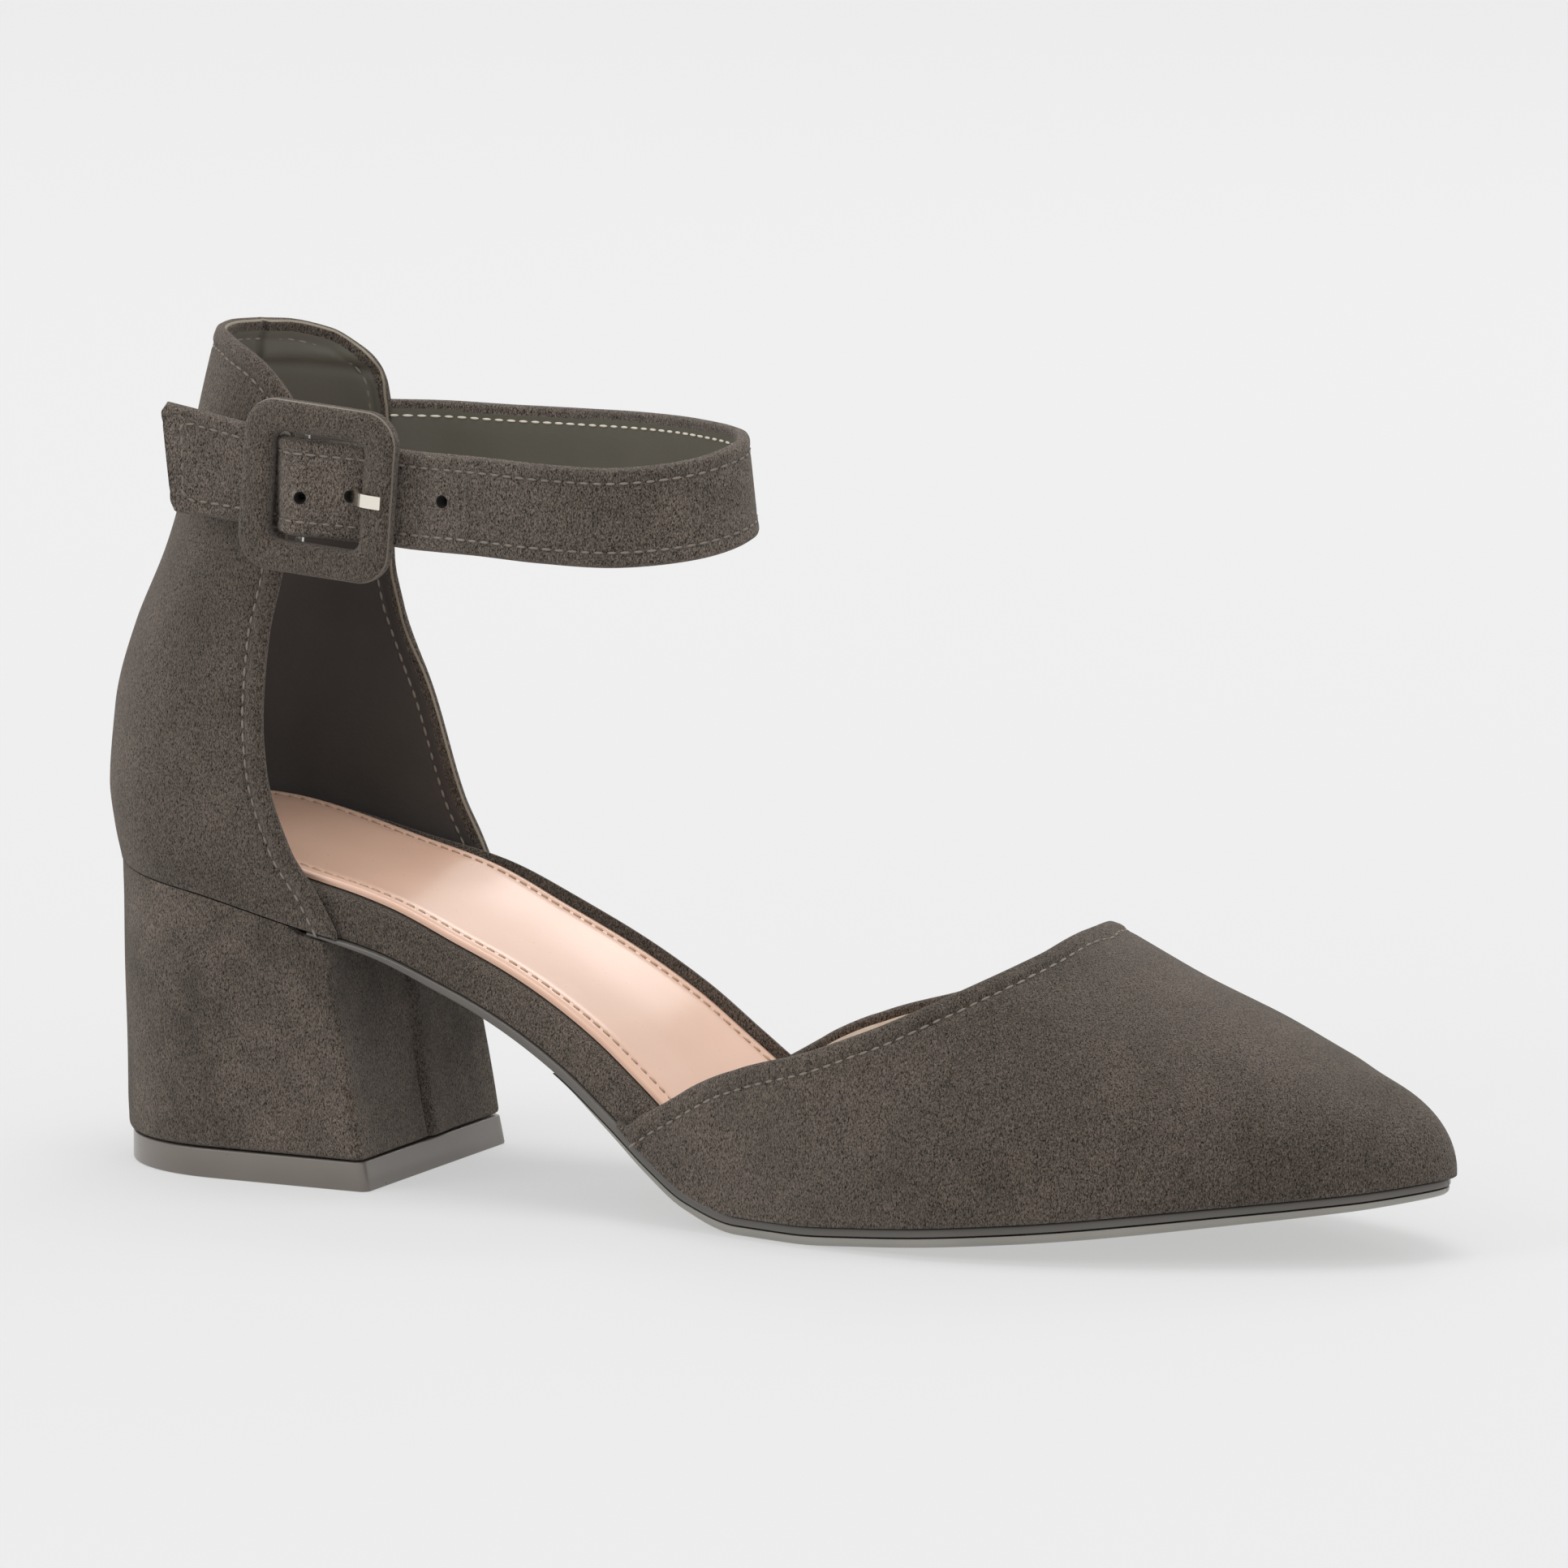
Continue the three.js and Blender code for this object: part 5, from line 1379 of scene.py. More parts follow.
@dataclass
class Footbed(Part):
    """Covered insole board with its sock and the sole's layers."""

    board: float = 6.9
    radius: float = 2.4
    sock: float = 1.3
    inset: float = 1.9
    dish: float = 0.9
    lip: float = 3.0
    lip_width: float = 1.5

    def stations(self, start: float = 0.0) -> Array:
        """Returns walks along the outline from a share of the sole's length."""
        last = self.last
        begin = float(last.walk_to(last.place(start))) if start > 0 else 0.0
        body = np.linspace(last.turn, 1 - last.turn, 190)
        heel = last.turn * np.linspace(0, 1, 40)[:-1] ** 1.15
        toe = 1 - last.turn * np.linspace(1, 0, 40)[1:] ** 1.15
        walk = np.concatenate([heel, body, toe])
        return np.concatenate([[begin], walk[walk > begin + 1e-4]])

    def loft(
        self, walk: Array, section: Callable[[Side], Array], crown: Callable | None = None, across: int = 14
    ) -> tuple:
        """Builds a layer from its edge sections.

        Args:
            walk: stations along the outline.
            section: height over the feather line and offset from the outline of each edge point, per station.
            crown: height of the top between the edges, by share of the width.
            across: number of points across the top and the bottom.

        Returns:
            Points and faces.
        """
        last = self.last
        sides = []
        for side in (Side.OUTER, Side.INNER):
            rows = section(side)
            sides.append(np.stack([last.over(last.rim(side, walk, row[1]), row[0]) for row in rows], 1))
        outer, inner = sides
        share = np.linspace(0, 1, across + 2)[1:-1]
        width = np.linalg.norm(outer[:, -1] - inner[:, -1], axis=1)
        top = outer[:, -1][:, None] * (1 - share)[None, :, None] + inner[:, -1][:, None] * share[None, :, None]
        if crown is not None:
            top[..., 2] += crown(share[None, :], width[:, None])
        bottom = inner[:, 0][:, None] * (1 - share)[None, :, None] + outer[:, 0][:, None] * share[None, :, None]
        rings = np.concatenate([outer, top, inner[:, ::-1], bottom], 1)
        return tube(rings)

    def board_offset(self, walk: Array) -> Array:
        """Returns how far the board stands out from the outline."""
        return self.last.upper_offset(walk) - self.last.wall - self.last.gap

    def board_top(self, walk: Array) -> Array:
        """Returns the board's height over the feather line."""
        last = self.last
        return self.board * last.board_share(last.share(last.along(walk)[0]))

    def make_board(self) -> None:
        """Builds the covered board with its rolled inner lip."""
        last, walk = self.last, self.stations()
        share = last.share(last.along(walk)[0])
        offset, top = self.board_offset(walk), self.board_top(walk)
        radius = np.minimum(self.radius, 0.45 * top)

        def section(side: Side) -> list:
            crest = top + (last.lip_share(share) * self.lip if side is Side.INNER else 0)
            rows = [(np.full_like(walk, last.half_gap), offset), (0.5 * (crest - radius), offset)]
            for angle in np.linspace(0, math.pi / 2, 6):
                rows.append((crest - radius * (1 - math.sin(angle)), offset - radius * (1 - math.cos(angle))))
            rows.append((top, offset - np.maximum(self.inset + self.lip_width - last.gap, radius + 0.2)))
            return rows

        points, faces = self.loft(walk, section, self.crown)
        piece = piece_mesh("footbed_cover", points, faces, self.get(Finish.UPPER), sharp=70)
        self.finish(piece, "suede_footbed", "footbed")

    def make_sock(self) -> None:
        """Builds the glossy sock with its stitched edge."""
        last, walk = self.last, self.stations()
        share = last.share(last.along(walk)[0])

        def edge_of(side: Side) -> Array:
            lip = np.minimum(1, 3 * last.lip_share(share)) * self.lip_width if side is Side.INNER else 0
            return self.board_offset(walk) - self.inset - lip

        bottom = self.board_top(walk) + last.gap
        thick = self.sock

        def section(side: Side) -> list:
            offset = edge_of(side)
            rows = [(bottom, offset - 0.1), (bottom + 0.45 * thick, offset)]
            for angle in np.linspace(0.15, 1.0, 4) * math.pi / 2:
                up = 0.45 + 0.45 * math.sin(angle)
                rows.append((bottom + thick * up, offset - 0.7 * thick * (1 - math.cos(angle))))
            for out, up in SOCK_HEM:
                rows.append((bottom + thick * up, offset - out))
            return rows

        points, faces = self.loft(walk, section, self.crown, across=22)
        piece = piece_mesh("sock", points, faces, self.get(Finish.SOCK), sharp=70)
        self.finish(piece, "sock", "sock_lining")
        lines = []
        for side in (Side.OUTER, Side.INNER):
            keep = (walk > 0.001) & (walk < 0.93)
            rows = last.over(last.rim(side, walk, edge_of(side) - STITCH_INSET), bottom + thick * 0.86)
            lines.append(rows[keep])
        row = np.concatenate([lines[0][::-1], lines[1]])
        row = smoothed(resampled(row, 0.6), 2)
        self.rows.lay("sock_stitches", [row], self.wardrobe.get(Finish.SOCK_THREAD), "sock",
                      pitch=2.4, length=1.7, thickness=0.55, seed=12)

    def crown(self, share: Array, width: Array) -> Array:
        """Returns the dish of board and sock across the width."""
        return -self.dish * np.sin(math.pi * share) * np.minimum(1, width / self.last.seat_width)

    def make_sole(self) -> None:
        """Builds the dark band and the pale tread."""
        last = self.last
        for name, start, slot, node, finish in (
            ("sole_band", 0.19, "sole_band", "outsole", Finish.BAND),
            ("sole_tread", 0.385, "sole_tread", "outsole_tread", Finish.TREAD),
        ):
            walk = self.stations(start)
            share = last.share(last.along(walk)[0])
            edge = last.sole_edge(share) * last.wall
            band_low = -last.half_gap - last.band * last.band_share(share)
            if node == "outsole":
                high = np.full_like(walk, -last.half_gap)
                rows = [(band_low, edge - last.gap), (band_low + 0.12, edge - 0.08), (band_low + last.gap, edge),
                        (high - 0.2, edge), (high, edge - 0.15)]
            else:
                top = band_low - last.gap
                taper = 0.12 + 0.88 * smoothstep(share, start, start + 0.05)
                low = top - last.tread * last.tread_share(share) * taper
                out = edge - last.gap
                rows = [(low, out - 0.8 * last.tread), (low + 0.12 * (top - low), out - 0.35 * last.tread),
                        (low + 0.4 * (top - low), out - 0.08 * last.tread), (low + 0.7 * (top - low), out),
                        (top, out)]
            points, faces = self.loft(walk, lambda side, rows=rows: rows)
            piece = piece_mesh(name, points, faces, self.get(finish), sharp=55)
            self.finish(piece, slot, node)

    def build(self) -> None:
        """Builds board, sock and sole."""
        self.make_board()
        self.make_sock()
        self.make_sole()


@dataclass
class Heel(Part):
    """Covered block heel and its top piece."""

    base_length: float = 57.0
    taper: float = 0.8
    top_piece: float = 5.2
    flare: float = 1.1
    overhang: float = 0.8
    breast_place: float = 52.2
    skew: float = 1.7
    corner: float = 1.6
    sole_start: float = 0.19
    step: float = 0.6

    def base_plan(self, side: Side, turn: Array, back_growth: float, front_growth: float) -> Array:
        """Returns the plan at the heel's base."""
        last, sign = self.last, side.value
        back = -self.base_length / 2 - back_growth
        front = self.base_length / 2 + sign * self.skew / 2 + front_growth
        half = (last.seat_width - self.taper) / 2
        rounding = last.heel_round + self.corner
        power = 2 / last.heel_power
        angle = np.clip(turn, 0, 0.5) * math.pi
        low_x = back + rounding * (1 - np.clip(np.cos(angle), 0, 1) ** power)
        low_y = half * np.sin(angle) ** power
        share = (turn - 0.5) / 0.35
        mid_x = back + rounding + share * (front - self.corner - back - rounding)
        bend = np.clip((turn - 0.85) / 0.15, 0, 1) * math.pi / 2
        high_x = front - self.corner * (1 - np.sin(bend))
        high_y = half - self.corner * (1 - np.cos(bend))
        x = np.where(turn < 0.5, low_x, np.where(turn < 0.85, mid_x, high_x))
        y = np.where(turn < 0.5, low_y, np.where(turn < 0.85, half, high_y))
        return np.stack([x, sign * y], -1)

    def top_plan(self, side: Side, turn: Array) -> Array:
        """Returns the plan under the seat."""
        last, sign = self.last, side.value
        inset = -0.06 * last.wall
        front = last.place(0) + self.breast_place
        sole = last.place(self.sole_start)
        xs = [last.place(0) + last.heel_round, sole - 2 * self.step, sole - self.step, front - self.corner]
        x = np.interp(turn, [0.5, 0.8, 0.82, 0.85], xs)
        walk = np.where(turn < 0.5, turn * 2 * last.turn, last.walk_to(x))
        plan = last.rim(side, walk, inset)
        bend = np.clip((turn - 0.85) / 0.15, 0, 1) * math.pi / 2
        plan[..., 0] += (self.corner + sign * self.skew / 2) * np.sin(bend) * (turn > 0.85)
        plan[..., 1] -= sign * self.corner * (1 - np.cos(bend)) * (turn > 0.85)
        return plan

    def outline(self, plan: Callable[[Side, Array], Array], height: Callable[[Array], Array]) -> Array:
        """Returns the closed outline from a plan and a height."""
        turn = np.concatenate([np.linspace(0, 0.5, 42), np.linspace(0.5, 0.85, 26)[1:], np.linspace(0.85, 1, 9)[1:]])
        outer, inner = plan(Side.OUTER, turn), plan(Side.INNER, turn)
        share = np.linspace(0, 1, 42)[1:-1, None]
        breast = outer[-1] * (1 - share) + inner[-1] * share
        loop = np.concatenate([outer, breast, inner[::-1][:-1]])
        return height(loop)

    def roof(self, plan: Array) -> Array:
        """Returns the points of the heel's top under seat and sole."""
        last = self.last
        end = last.place(self.sole_start) - self.step
        under = smoothstep(plan[:, 0], end - self.step, end)
        sole = last.band * last.band_share(last.share(plan[:, 0])) + last.gap
        return last.over(plan, -last.half_gap - under * sole)

    def build(self) -> None:
        """Builds the covered block and the top piece."""
        last = self.last
        base = self.top_piece + last.gap
        low = self.outline(
            lambda side, turn: self.base_plan(side, turn, self.overhang, -self.flare),
            lambda plan: np.column_stack([plan, np.full(len(plan), base)]))
        high = self.outline(self.top_plan, self.roof)
        levels = np.concatenate([np.linspace(0, 0.04, 7), np.linspace(0.04, 1, 56)[1:]])
        rings = low[None] + (high - low)[None] * levels[:, None, None]
        centre = rings.mean(axis=1, keepdims=True)
        out = unit((rings - centre) * np.array([1.0, 1.0, 0.0]))
        rings = rings - out * quarter_round(levels, 0.8, 0.03)[:, None, None]
        seam_y = -0.4 + 0.8 * levels
        low_front, high_front = low[:, 0].max(), high[:, 0].max()
        front = low_front + (high_front - low_front) * levels
        breast = smoothstep(rings[..., 0] - front[:, None], -2.2, -1.2)
        beside = rings[..., 1] - seam_y[:, None]
        relief = 0.6 * smoothstep(beside, 0.0, 0.6) * (1 - smoothstep(beside, 2.0, 9.0)) - 0.9 * bell(beside, -0.3, 0.5)
        rings[..., 0] += relief * breast
        x, y, z = (rings[..., k] for k in range(3))
        swell = 0.12 * np.sin(z / 7.0 + x / 9.0) * np.sin(y / 8.0 + z / 13.0)
        fade = smoothstep(levels, 0.03, 0.12) * (1 - smoothstep(levels, 0.85, 0.97))
        rings = rings + out * (swell * fade[:, None])[..., None]
        points, faces = tube(rings)
        piece = piece_mesh("heel_cover", points, faces, self.get(Finish.HEEL_COVER), sharp=60)
        self.finish(piece, "suede_heel", "heel_block")
        self.make_top_piece()

    def make_top_piece(self) -> None:
        """Builds the wearing piece with its softened edges."""
        rings = []
        for height, grow in TIP_EDGE:
            front = -self.flare * height / self.top_piece + grow
            rings.append(self.outline(
                lambda side, turn, grow=grow, front=front: self.base_plan(side, turn, grow, front)
                * np.array([1.0, 1.0 + 2 * grow / self.last.seat_width]),
                lambda plan, height=height: np.column_stack([plan, np.full(len(plan), height)])))
        points, faces = tube(np.array(rings))
        piece = piece_mesh("heel_tip", points, faces, self.get(Finish.TOP_PIECE), sharp=40)
        self.finish(piece, "heel_rubber", "heel_top_piece")


@dataclass
class Ankle(Part):
    """Ankle strap and its covered buckle."""

    quarter: Quarter = None
    width: float = 17.3
    thick: float = 2.2
    height: float = 124.6
    reach: float = 91.5
    span: float = 53.4
    lean: float = 1.8
    tail: float = 31.8
    tail_rise: float = 1.1
    tail_flare: float = 1.8
    tail_slant: float = 4.8
    drop: float = 0.08
    frame_width: float = 29.4
    frame_height: float = 30.2
    window_width: float = 17.8
    window_height: float = 19.0
    frame_corner: float = 6.0
    window_corner: float = 1.1
    padding: float = 4.2
    standoff: float = 0.8
    centre_x: float = 22.0
    bar: float = 1.4
    bar_place: float = 4.6
    chape: float = 0.7
    chape_standoff: float = 0.7
    cut_side: int = 1
    tuck: float = 1.2
    holes: tuple[tuple[float, float], ...] = ((-3.6, -1.7), (5.0, -0.6), (12.4, 0.0), (22.4, 0.4))

    def __post_init__(self) -> None:
        """Works out the layers of the buckle."""
        gap = self.last.gap
        self.slope = math.atan(self.drop)
        self.cup_y = -self.edge_at(Side.OUTER)[1]
        self.under = self.cup_y + self.chape_standoff + self.chape + gap + self.thick / 2
        self.frame_inside = self.under + self.thick / 2 + gap + self.standoff
        bar_out = self.frame_inside - gap - self.bar / 2
        self.over = bar_out + self.bar / 2 + gap + self.chape + gap + self.thick / 2
        self.rail = (self.frame_width + self.window_width) / 4

    def edge_at(self, side: Side) -> Array:
        """Returns the point of the cup's front edge at the strap's height."""
        heights = np.linspace(0, 1, 4001)
        line = self.quarter.points(side, np.ones_like(heights), heights)
        return line[int(np.argmin(np.abs(line[:, 2] - self.height)))]

    def buckle_point(self, along: Array, out: Array, up: Array) -> Array:
        """Returns points in the buckle's own axes."""
        cos, sin = math.cos(self.slope), math.sin(self.slope)
        along, out, up = np.broadcast_arrays(*(np.asarray(v, float) for v in (along, out, up)))
        return np.stack([self.centre_x + along * cos + up * sin, -out, self.height - along * sin + up * cos], -1)

    def stops(self) -> tuple[Array, Array, Array]:
        """Returns the strap's centre points with their lean and their share of the tail."""
        edge = self.edge_at(Side.INNER)
        points = [np.array([edge[0] - self.tuck, edge[1] - self.last.wall / 2, self.height])]
        lean, tail = [0.0], [0.0]
        for reach, side, rise, tilt in LOOP:
            points.append(np.array([reach * self.reach, side * self.span, self.height + rise * self.width]))
            lean.append(tilt)
            tail.append(0.0)
        for rail, bar, shift, lift, end in BUCKLE_ROUTE:
            along = rail * self.rail - bar * self.bar_place + shift * self.thick
            out = self.under + (self.over - self.under) * lift
            points.append(self.buckle_point(along, out, end * self.tail_rise))
            lean.append(0.0)
            tail.append(end)
        points.append(self.buckle_point(-self.tail, self.under + self.last.gap, self.tail_rise))
        lean.append(0.0)
        tail.append(1.0)
        return np.array(points), np.array(lean), np.array(tail)

    @staticmethod
    def route(points: Array, place: float) -> Array:
        """Returns a point on the smooth curve through the stops."""
        last = len(points) - 1
        k = min(int(place), last - 1)
        w = place - k
        p0 = points[k - 1] if k > 0 else 2 * points[0] - points[1]
        p1, p2 = points[k], points[k + 1]
        p3 = points[k + 2] if k + 2 <= last else 2 * points[last] - points[last - 1]
        d0, d1, d2 = (max(np.linalg.norm(b - a), 1e-4) ** 0.5 for a, b in ((p0, p1), (p1, p2), (p2, p3)))
        t1 = ((p1 - p0) / d0 - (p2 - p0) / (d0 + d1) + (p2 - p1) / d1) * d1
        t2 = ((p2 - p1) / d1 - (p3 - p1) / (d1 + d2) + (p3 - p2) / d2) * d1
        return p1 + t1 * w + (-3 * p1 + 3 * p2 - 2 * t1 - t2) * w**2 + (2 * p1 - 2 * p2 + t1 + t2) * w**3

    def frames(self) -> list[dict]:
        """Returns the strap's centre line with its own axes at even steps."""
        points, lean, tail = self.stops()
        last = len(points) - 1
        fine = np.linspace(0, last, last * 60 + 1)
        line = np.array([self.route(points, place) for place in fine])
        run = np.concatenate([[0], np.cumsum(np.linalg.norm(np.diff(line, axis=0), axis=1))])
        count = int(run[-1] / 0.8)
        places = np.interp(np.linspace(0, run[-1], count + 1), run, fine)
        found = []
        for place in places:
            step = 1e-3
            before, after = max(place - step, 0), min(place + step, last)
            tangent = unit(self.route(points, after) - self.route(points, before))
            lean_now = np.interp(place, np.arange(last + 1), lean)
            tail_now = np.interp(place, np.arange(last + 1), tail)
            outwards = unit(np.array([-tangent[1], tangent[0], 0.0]))
            up = np.array([0.0, 0.0, 1.0]) - outwards * lean_now * self.lean / self.width - tangent * tangent[2]
            up = unit(up)
            found.append({
                "point": self.route(points, place), "tangent": tangent, "up": up,
                "thick": unit(np.cross(up, tangent)), "width": self.width + tail_now * self.tail_flare,
                "slant": max(0.0, place - last + 1) * self.tail_slant, "place": place,
            })
        return found

    def build(self) -> None:
        """Builds strap, frame and fittings."""
        self.make_strap()
        self.make_frame()
        self.dress_fittings()

    def make_strap(self) -> None:
        """Builds the strap with its folded edges, holes and stitches."""
        frames = self.frames()
        half = self.thick / 2
        section = []
        for sign in (-1, 1):
            for inset in STRAP_OUTSIDE[::-sign]:
                relief = float(hem_relief(inset, puff=0.12, dip=0.22)) * min(1.0, inset)
                section.append((half - float(quarter_round(inset, half, 0.75 * half)) + relief, sign, inset))
        for sign in (1, -1):
            for inset in STRAP_INSIDE[::sign]:
                dip = 0.12 * float(bell(inset, LINING_INSET, 0.4)) + 0.1 * float(bell(inset, 1.65, 0.25))
                section.append((-half + float(quarter_round(inset, 0.7 * half, 0.7 * half)) + dip, sign, inset))
        rings = np.array([[self.strap_point(f, *spot) for spot in section] for f in frames])
        rings = self.rounded_end(rings, frames)
        points, faces = tube(rings)
        # The third finish is the near-black painted shade of the holes' walls.
        finishes = self.get(Finish.STRAP_COVER, Finish.STRAP_LINING, Finish.HOLE_SHADE)
        strap = piece_mesh("strap_blank", points, faces, finishes)
        self.paint_inside(strap, frames)
        piece = self.punched(strap, frames)
        self.finish(piece, "suede_strap", "ankle_strap")
        self.strap_stitches(frames)

    @staticmethod
    def strap_point(f: dict, out: float, sign: int, inset: float) -> Array:
        """Places one point of the strap's section.

        Args:
            f: the strap's axes at this place.
            out: distance from the centre line, away from the foot.
            sign: 1 for the upper edge, -1 for the lower one.
            inset: distance in from that edge.

        Returns:
            The point.
        """
        rise = sign * (f["width"] / 2 - inset)
        return f["point"] + f["thick"] * out + f["up"] * rise + f["tangent"] * (rise / f["width"] * f["slant"])

    def rounded_end(self, rings: Array, frames: list[dict]) -> Array:
        """Softens the free end of the tail."""
        centre = np.array([f["point"] for f in frames])[:, None]
        shrink = np.ones(len(frames))
        shrink[-1] = 0.86
        return centre + (rings - centre) * shrink[:, None, None]

    def paint_inside(self, strap: bpy.types.Object, frames: list[dict]) -> None:
        """Gives the lining to the faces that look towards the foot."""
        tree = tree_of(np.array([f["point"] for f in frames]) * MM)
        slots = np.zeros(len(strap.data.polygons), np.int32)
        for polygon in strap.data.polygons:
            _, k, _ = tree.find(polygon.center)
            f = frames[k]
            away = (np.array(polygon.center) - f["point"] * MM) / MM
            facing = float(np.array(polygon.normal) @ f["thick"])
            if facing < -0.5 and abs(away @ f["up"]) < f["width"] / 2 - 1.65:
                slots[polygon.index] = 1
        strap.data.polygons.foreach_set("material_index", slots)

    def along_strap(self, along: float) -> float:
        """Returns X for a distance along the buckle from its centre."""
        return self.centre_x + along * math.cos(self.slope)

    def punched(self, strap: bpy.types.Object, frames: list[dict]) -> bpy.types.Object:
        """Cuts the round holes through the strap.

        Args:
            strap: the strap without holes.
            frames: the strap's centre line.

        Returns:
            The strap with its holes.
        """
        start = next(k for k, f in enumerate(frames) if f["place"] > len(LOOP) - 1)
        turn = np.linspace(0, 2 * math.pi, 25)[:-1]
        points, faces = [], []
        for along, rise in self.holes:
            wanted = self.along_strap(along)
            f = min(frames[start:], key=lambda g, wanted=wanted: abs(g["point"][0] - wanted))
            spot = f["point"] + rise * f["up"]
            circle = np.cos(turn)[:, None] * f["tangent"] + np.sin(turn)[:, None] * f["up"]
            rings = np.array([spot + f["thick"] * depth + radius * circle for depth, radius in HOLE_EDGE])
            p, body = tube(rings)
            faces += [[c + len(points) for c in face] for face in body]
            points += p.tolist()
        # The cutter's near-black finish goes onto the holes' walls as painted shade.
        cutter = piece_mesh("hole_cutter", np.array(points), faces, self.get(Finish.HOLE_SHADE))
        cut = strap.modifiers.new("holes", "BOOLEAN")
        cut.object = cutter
        cut.operation = "DIFFERENCE"
        cut.solver = "EXACT"
        cut.use_self = True
        piece = baked(strap, "strap_cover")
        bpy.data.objects.remove(cutter, do_unlink=True)
        return piece

    def strap_stitches(self, frames: list[dict]) -> None:
        """Lays the stitches along both edges and round the tail, and the pale row of the lining."""
        half = self.thick / 2

        def line(sign: int, out: float, inset: float, keep: list[dict]) -> Array:
            return np.array([self.strap_point(f, out, sign, inset) for f in keep])

        run = frames[:-4]
        top, bottom = (line(sign, half - 0.1, STITCH_INSET, run) for sign in (1, -1))
        end = np.linspace(top[-1], bottom[-1], 20)[1:-1]
        outer = smoothed(resampled(np.concatenate([top, end, bottom[::-1]]), 0.6), 2)
        self.rows.lay("strap_stitches", [outer], self.wardrobe.get(Finish.THREAD), "suede_strap", seed=21)
        inside = [line(sign, -half - THREAD_LIFT, LINING_INSET, frames[2:-4]) for sign in (1, -1)]
        self.rows.lay("strap_lining_stitches", inside, self.wardrobe.get(Finish.PALE_THREAD), "suede_strap",
                      pitch=2.5, length=1.9, thickness=0.45, seed=23)

    def square(self, width: float, height: float, radius: float, count: int) -> Array:
        """Returns a rounded rectangle with points at matching places round it."""
        points = []
        for share in np.linspace(0, 1, count + 1)[:-1]:
            turn = share * 4
            k = int(turn) % 4
            part = turn - int(turn)
            signs = ((1, 1), (-1, 1), (-1, -1), (1, -1))
            flat = 0.45
            angle = (k + min(part / (1 - flat), 1)) * math.pi / 2
            spoke = radius * np.array([math.cos(angle), math.sin(angle)])
            size = np.array([width / 2 - radius, height / 2 - radius])
            here = np.array(signs[k]) * size + spoke
            there = np.array(signs[(k + 1) % 4]) * size + spoke
            blend = max(0.0, (part - (1 - flat)) / flat)
            points.append(here * (1 - blend) + there * blend)
        return np.array(points)

    def make_frame(self) -> None:
        """Builds the padded covered frame."""
        around, sides = 176, 30
        outer = self.square(self.frame_width, self.frame_height, self.frame_corner, around)
        inner = self.square(self.window_width, self.window_height, self.window_corner + 1.0, around)
        middle, half = (outer + inner) / 2, (outer - inner) / 2
        turn = np.linspace(0, 2 * math.pi, sides + 1)[:-1]
        cos, sin = np.cos(turn), np.sin(turn)
        flat_cos = np.sign(cos) * np.abs(cos) ** 0.7
        flat_sin = np.sign(sin) * np.abs(sin) ** 0.66
        place = middle[:, None] + half[:, None] * flat_cos[None, :, None]
        out = self.frame_inside + self.padding / 2 * (1 + flat_sin)
        rings = self.buckle_point(place[..., 0], np.broadcast_to(out, place.shape[:2]), place[..., 1])
        faces = [corners(face) for face in self.ring_faces(around, sides)]
        points = rings.reshape(-1, 3)
        swell = 0.08 * np.sin(points[:, 0] / 1.9 + points[:, 2] / 2.7) * np.sin(points[:, 2] / 2.1)
        points[:, 1] -= swell
        slots = np.zeros((around, sides), int)
        slots[:, self.cut_side : self.cut_side + 1] = 1
        finishes = self.get(Finish.BUCKLE_COVER, Finish.COVER_EDGE)
        piece = piece_mesh("buckle_cover", points, faces, finishes, slots.reshape(-1))
        self.finish(piece, "suede_buckle", "buckle_frame")

    @staticmethod
    def ring_faces(around: int, sides: int) -> Array:
        """Returns the faces of a closed ring of closed sections, turned outwards."""
        i, j = np.meshgrid(np.arange(around), np.arange(sides), indexing="ij")
        m, n = (i + 1) % around, (j + 1) % sides
        return np.stack([i * sides + j, i * sides + n, m * sides + n, m * sides + j], -1).reshape(-1, 4)[:, ::-1]

    def dress_fittings(self) -> None:
        """Dresses the bar, the prong and the chape of the frame."""
        for node, finish in (
            ("buckle_bar", Finish.BAR), ("buckle_prong", Finish.PRONG), ("buckle_chape", Finish.STRAP_COVER)):
            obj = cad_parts[node]
            obj.data.materials.clear()
            obj.data.materials.append(self.wardrobe.get(finish))
            LOG.info("%s dressed", node)


# Studio


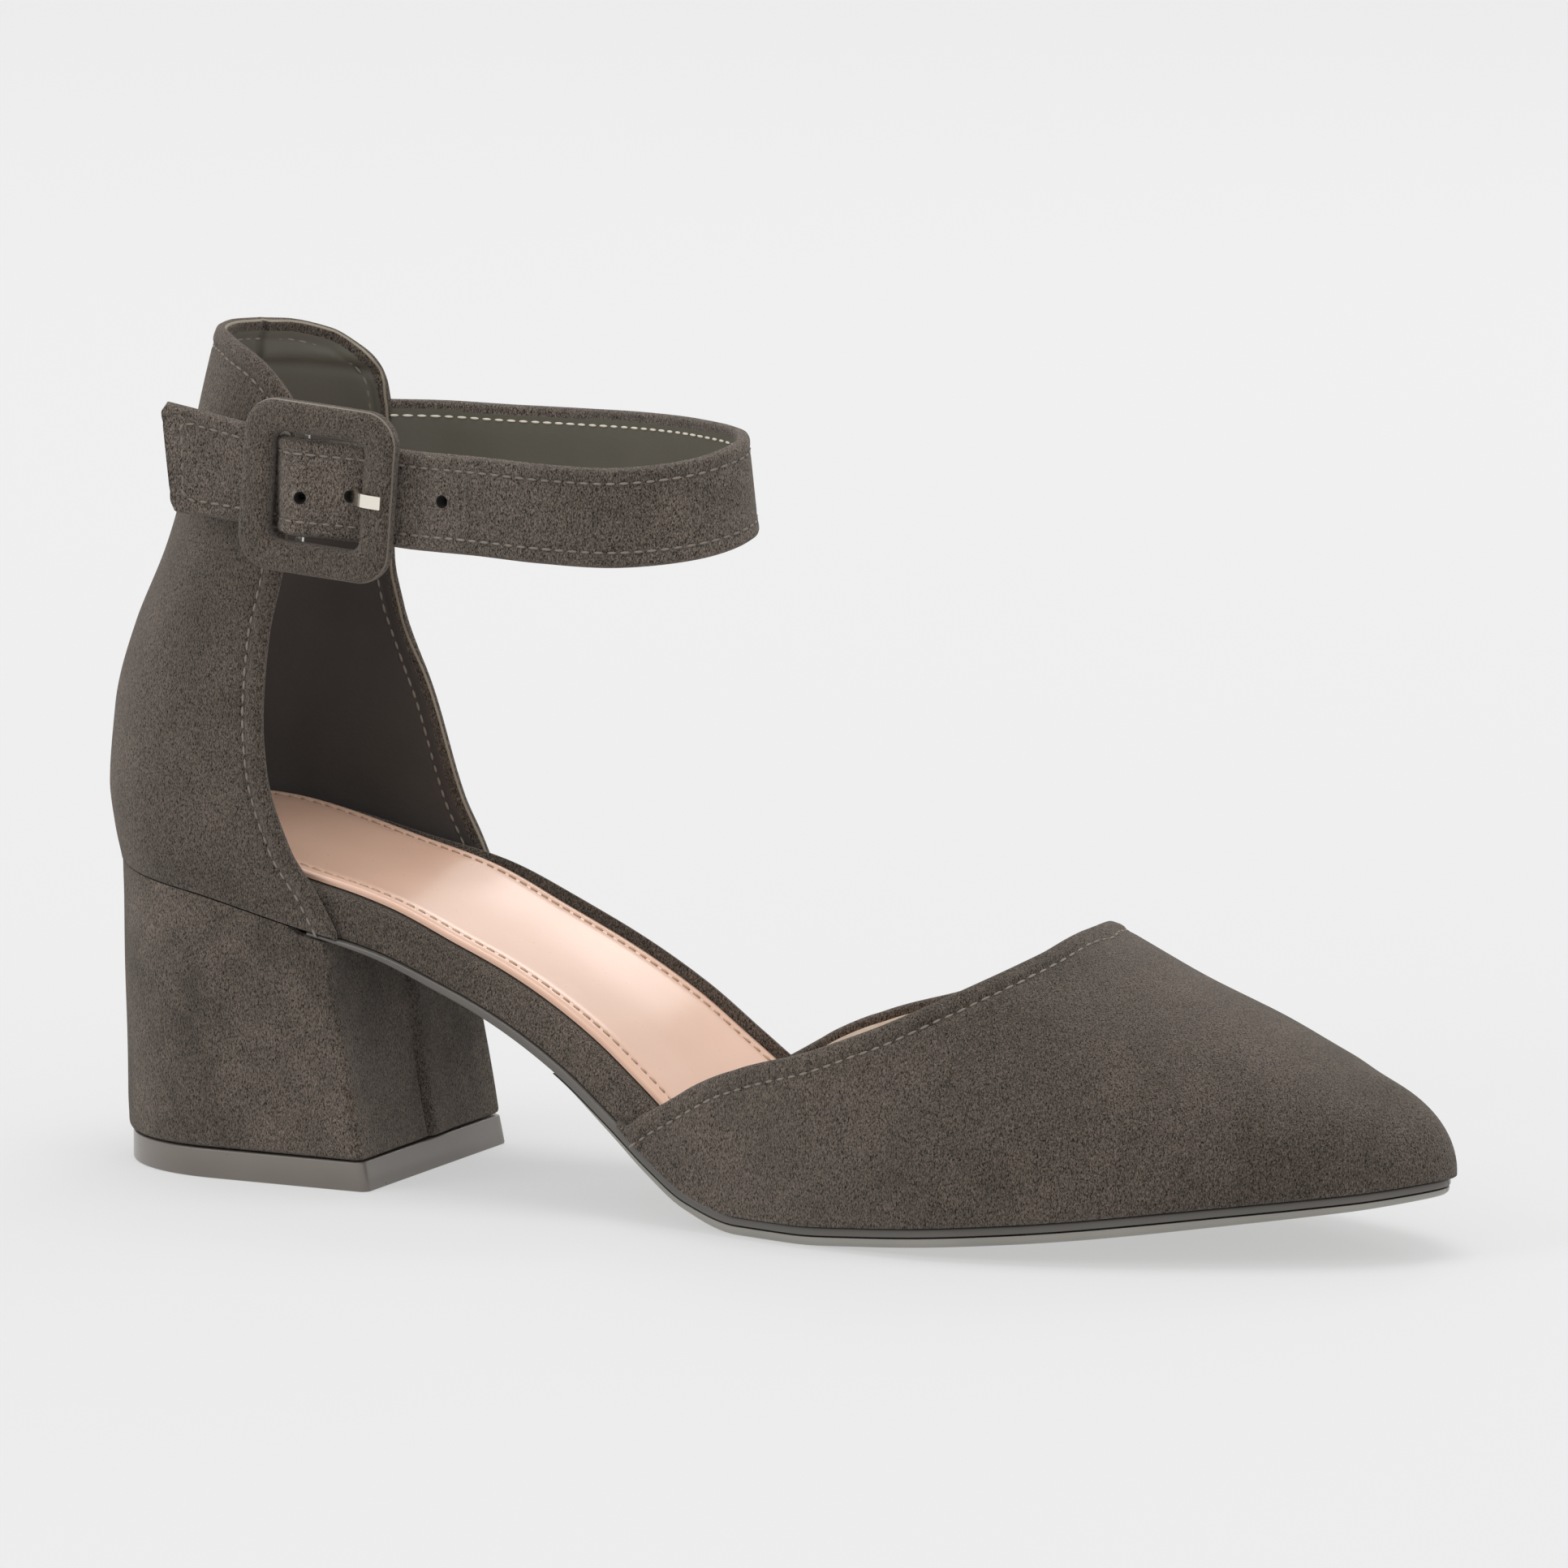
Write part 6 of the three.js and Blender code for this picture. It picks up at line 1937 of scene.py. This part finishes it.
@dataclass
class Studio:
    """Pale floor, soft lights and the camera."""

    azimuth: float = 25.3
    elevation: float = 9.4
    distance: float = 2000.0
    target: tuple[float, float, float] = (96.1, 0.0, 73.6)
    focal: float = 14206.0
    frame_pixels: float = 1932.0
    sensor: float = 36.0
    paper: float = 0.26
    paper_glow: float = 0.475
    world_glow: float = 0.86
    half_floor: float = 6000.0
    lamps: tuple = (
        ("overhead", (0.0, 0.5, 8.0), (0.1, 0.0, 0.0), 4.5, 300.0),
        ("left_front", (-5.5, -6.5, 5.5), (0.08, 0.0, 0.05), 4.0, 175.0),
        ("sock_sheen", (-0.05, 1.6, 1.2), (0.07, 0.0, 0.05), 0.5, 2.6),
    )

    def camera(self) -> None:
        """Makes the camera at the viewing angle."""
        a, e = math.radians(self.azimuth), math.radians(self.elevation)
        back = Vector((math.sin(a) * math.cos(e), -math.cos(a) * math.cos(e), math.sin(e)))
        data = bpy.data.cameras.new("camera")
        data.sensor_width = self.sensor
        data.lens = self.focal * self.sensor / self.frame_pixels
        data.clip_start, data.clip_end = 0.05, 20.0
        place = (Vector(self.target) + back * self.distance) * MM
        bpy.context.scene.camera = aimed("camera", data, place, -back)

    @staticmethod
    def light(name: str, place: Sequence[float], aim: Sequence[float], size: float, power: float) -> None:
        """Adds a square soft light.

        Args:
            name: name of the light.
            place: where it stands, in metres.
            aim: what it points at.
            size: length of its side.
            power: its power in watts.
        """
        data = bpy.data.lights.new(name, "AREA")
        data.shape = "SQUARE"
        data.size = size
        data.energy = power
        aimed(name, data, Vector(place), Vector(aim) - Vector(place))

    def floor(self) -> None:
        """Lays the pale floor."""
        material = bpy.data.materials.new("floor_paper")
        material.use_nodes = True
        fill(node_of(material.node_tree, "BSDF_PRINCIPLED"), {
            "Base Color": (self.paper, self.paper, self.paper, 1.0), "Emission Color": (1.0, 1.0, 1.0, 1.0),
            "Emission Strength": self.paper_glow, "Roughness": 0.9, "Specular IOR Level": 0.1,
        })
        points = np.array([[-1, -1, 0], [1, -1, 0], [1, 1, 0], [-1, 1, 0]], float) * self.half_floor
        floor = piece_mesh("floor", points, [[0, 1, 2, 3]], [material])

    def build(self) -> None:
        """Builds the studio."""
        self.camera()
        self.floor()
        world = bpy.data.worlds.new("studio")
        bpy.context.scene.world = world
        world.use_nodes = True
        back = node_of(world.node_tree, "BACKGROUND")
        back.inputs[0].default_value = (1.0, 1.0, 1.0, 1.0)
        back.inputs[1].default_value = self.world_glow
        bpy.context.scene.view_settings.view_transform = "Standard"
        for lamp in self.lamps:
            self.light(*lamp)


def main() -> None:
    """Builds the shoe piece by piece and the studio round it."""
    logging.basicConfig(level=logging.INFO, format="%(message)s")
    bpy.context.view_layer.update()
    last, wardrobe, rows = Last(), Wardrobe(), StitchRows()
    Studio().build()
    Vamp(last, wardrobe, rows).build()
    quarter = Quarter(last, wardrobe, rows)
    quarter.build()
    Footbed(last, wardrobe, rows).build()
    Heel(last, wardrobe, rows).build()
    Ankle(last, wardrobe, rows, quarter=quarter).build()


if __name__ == "__main__":
    main()
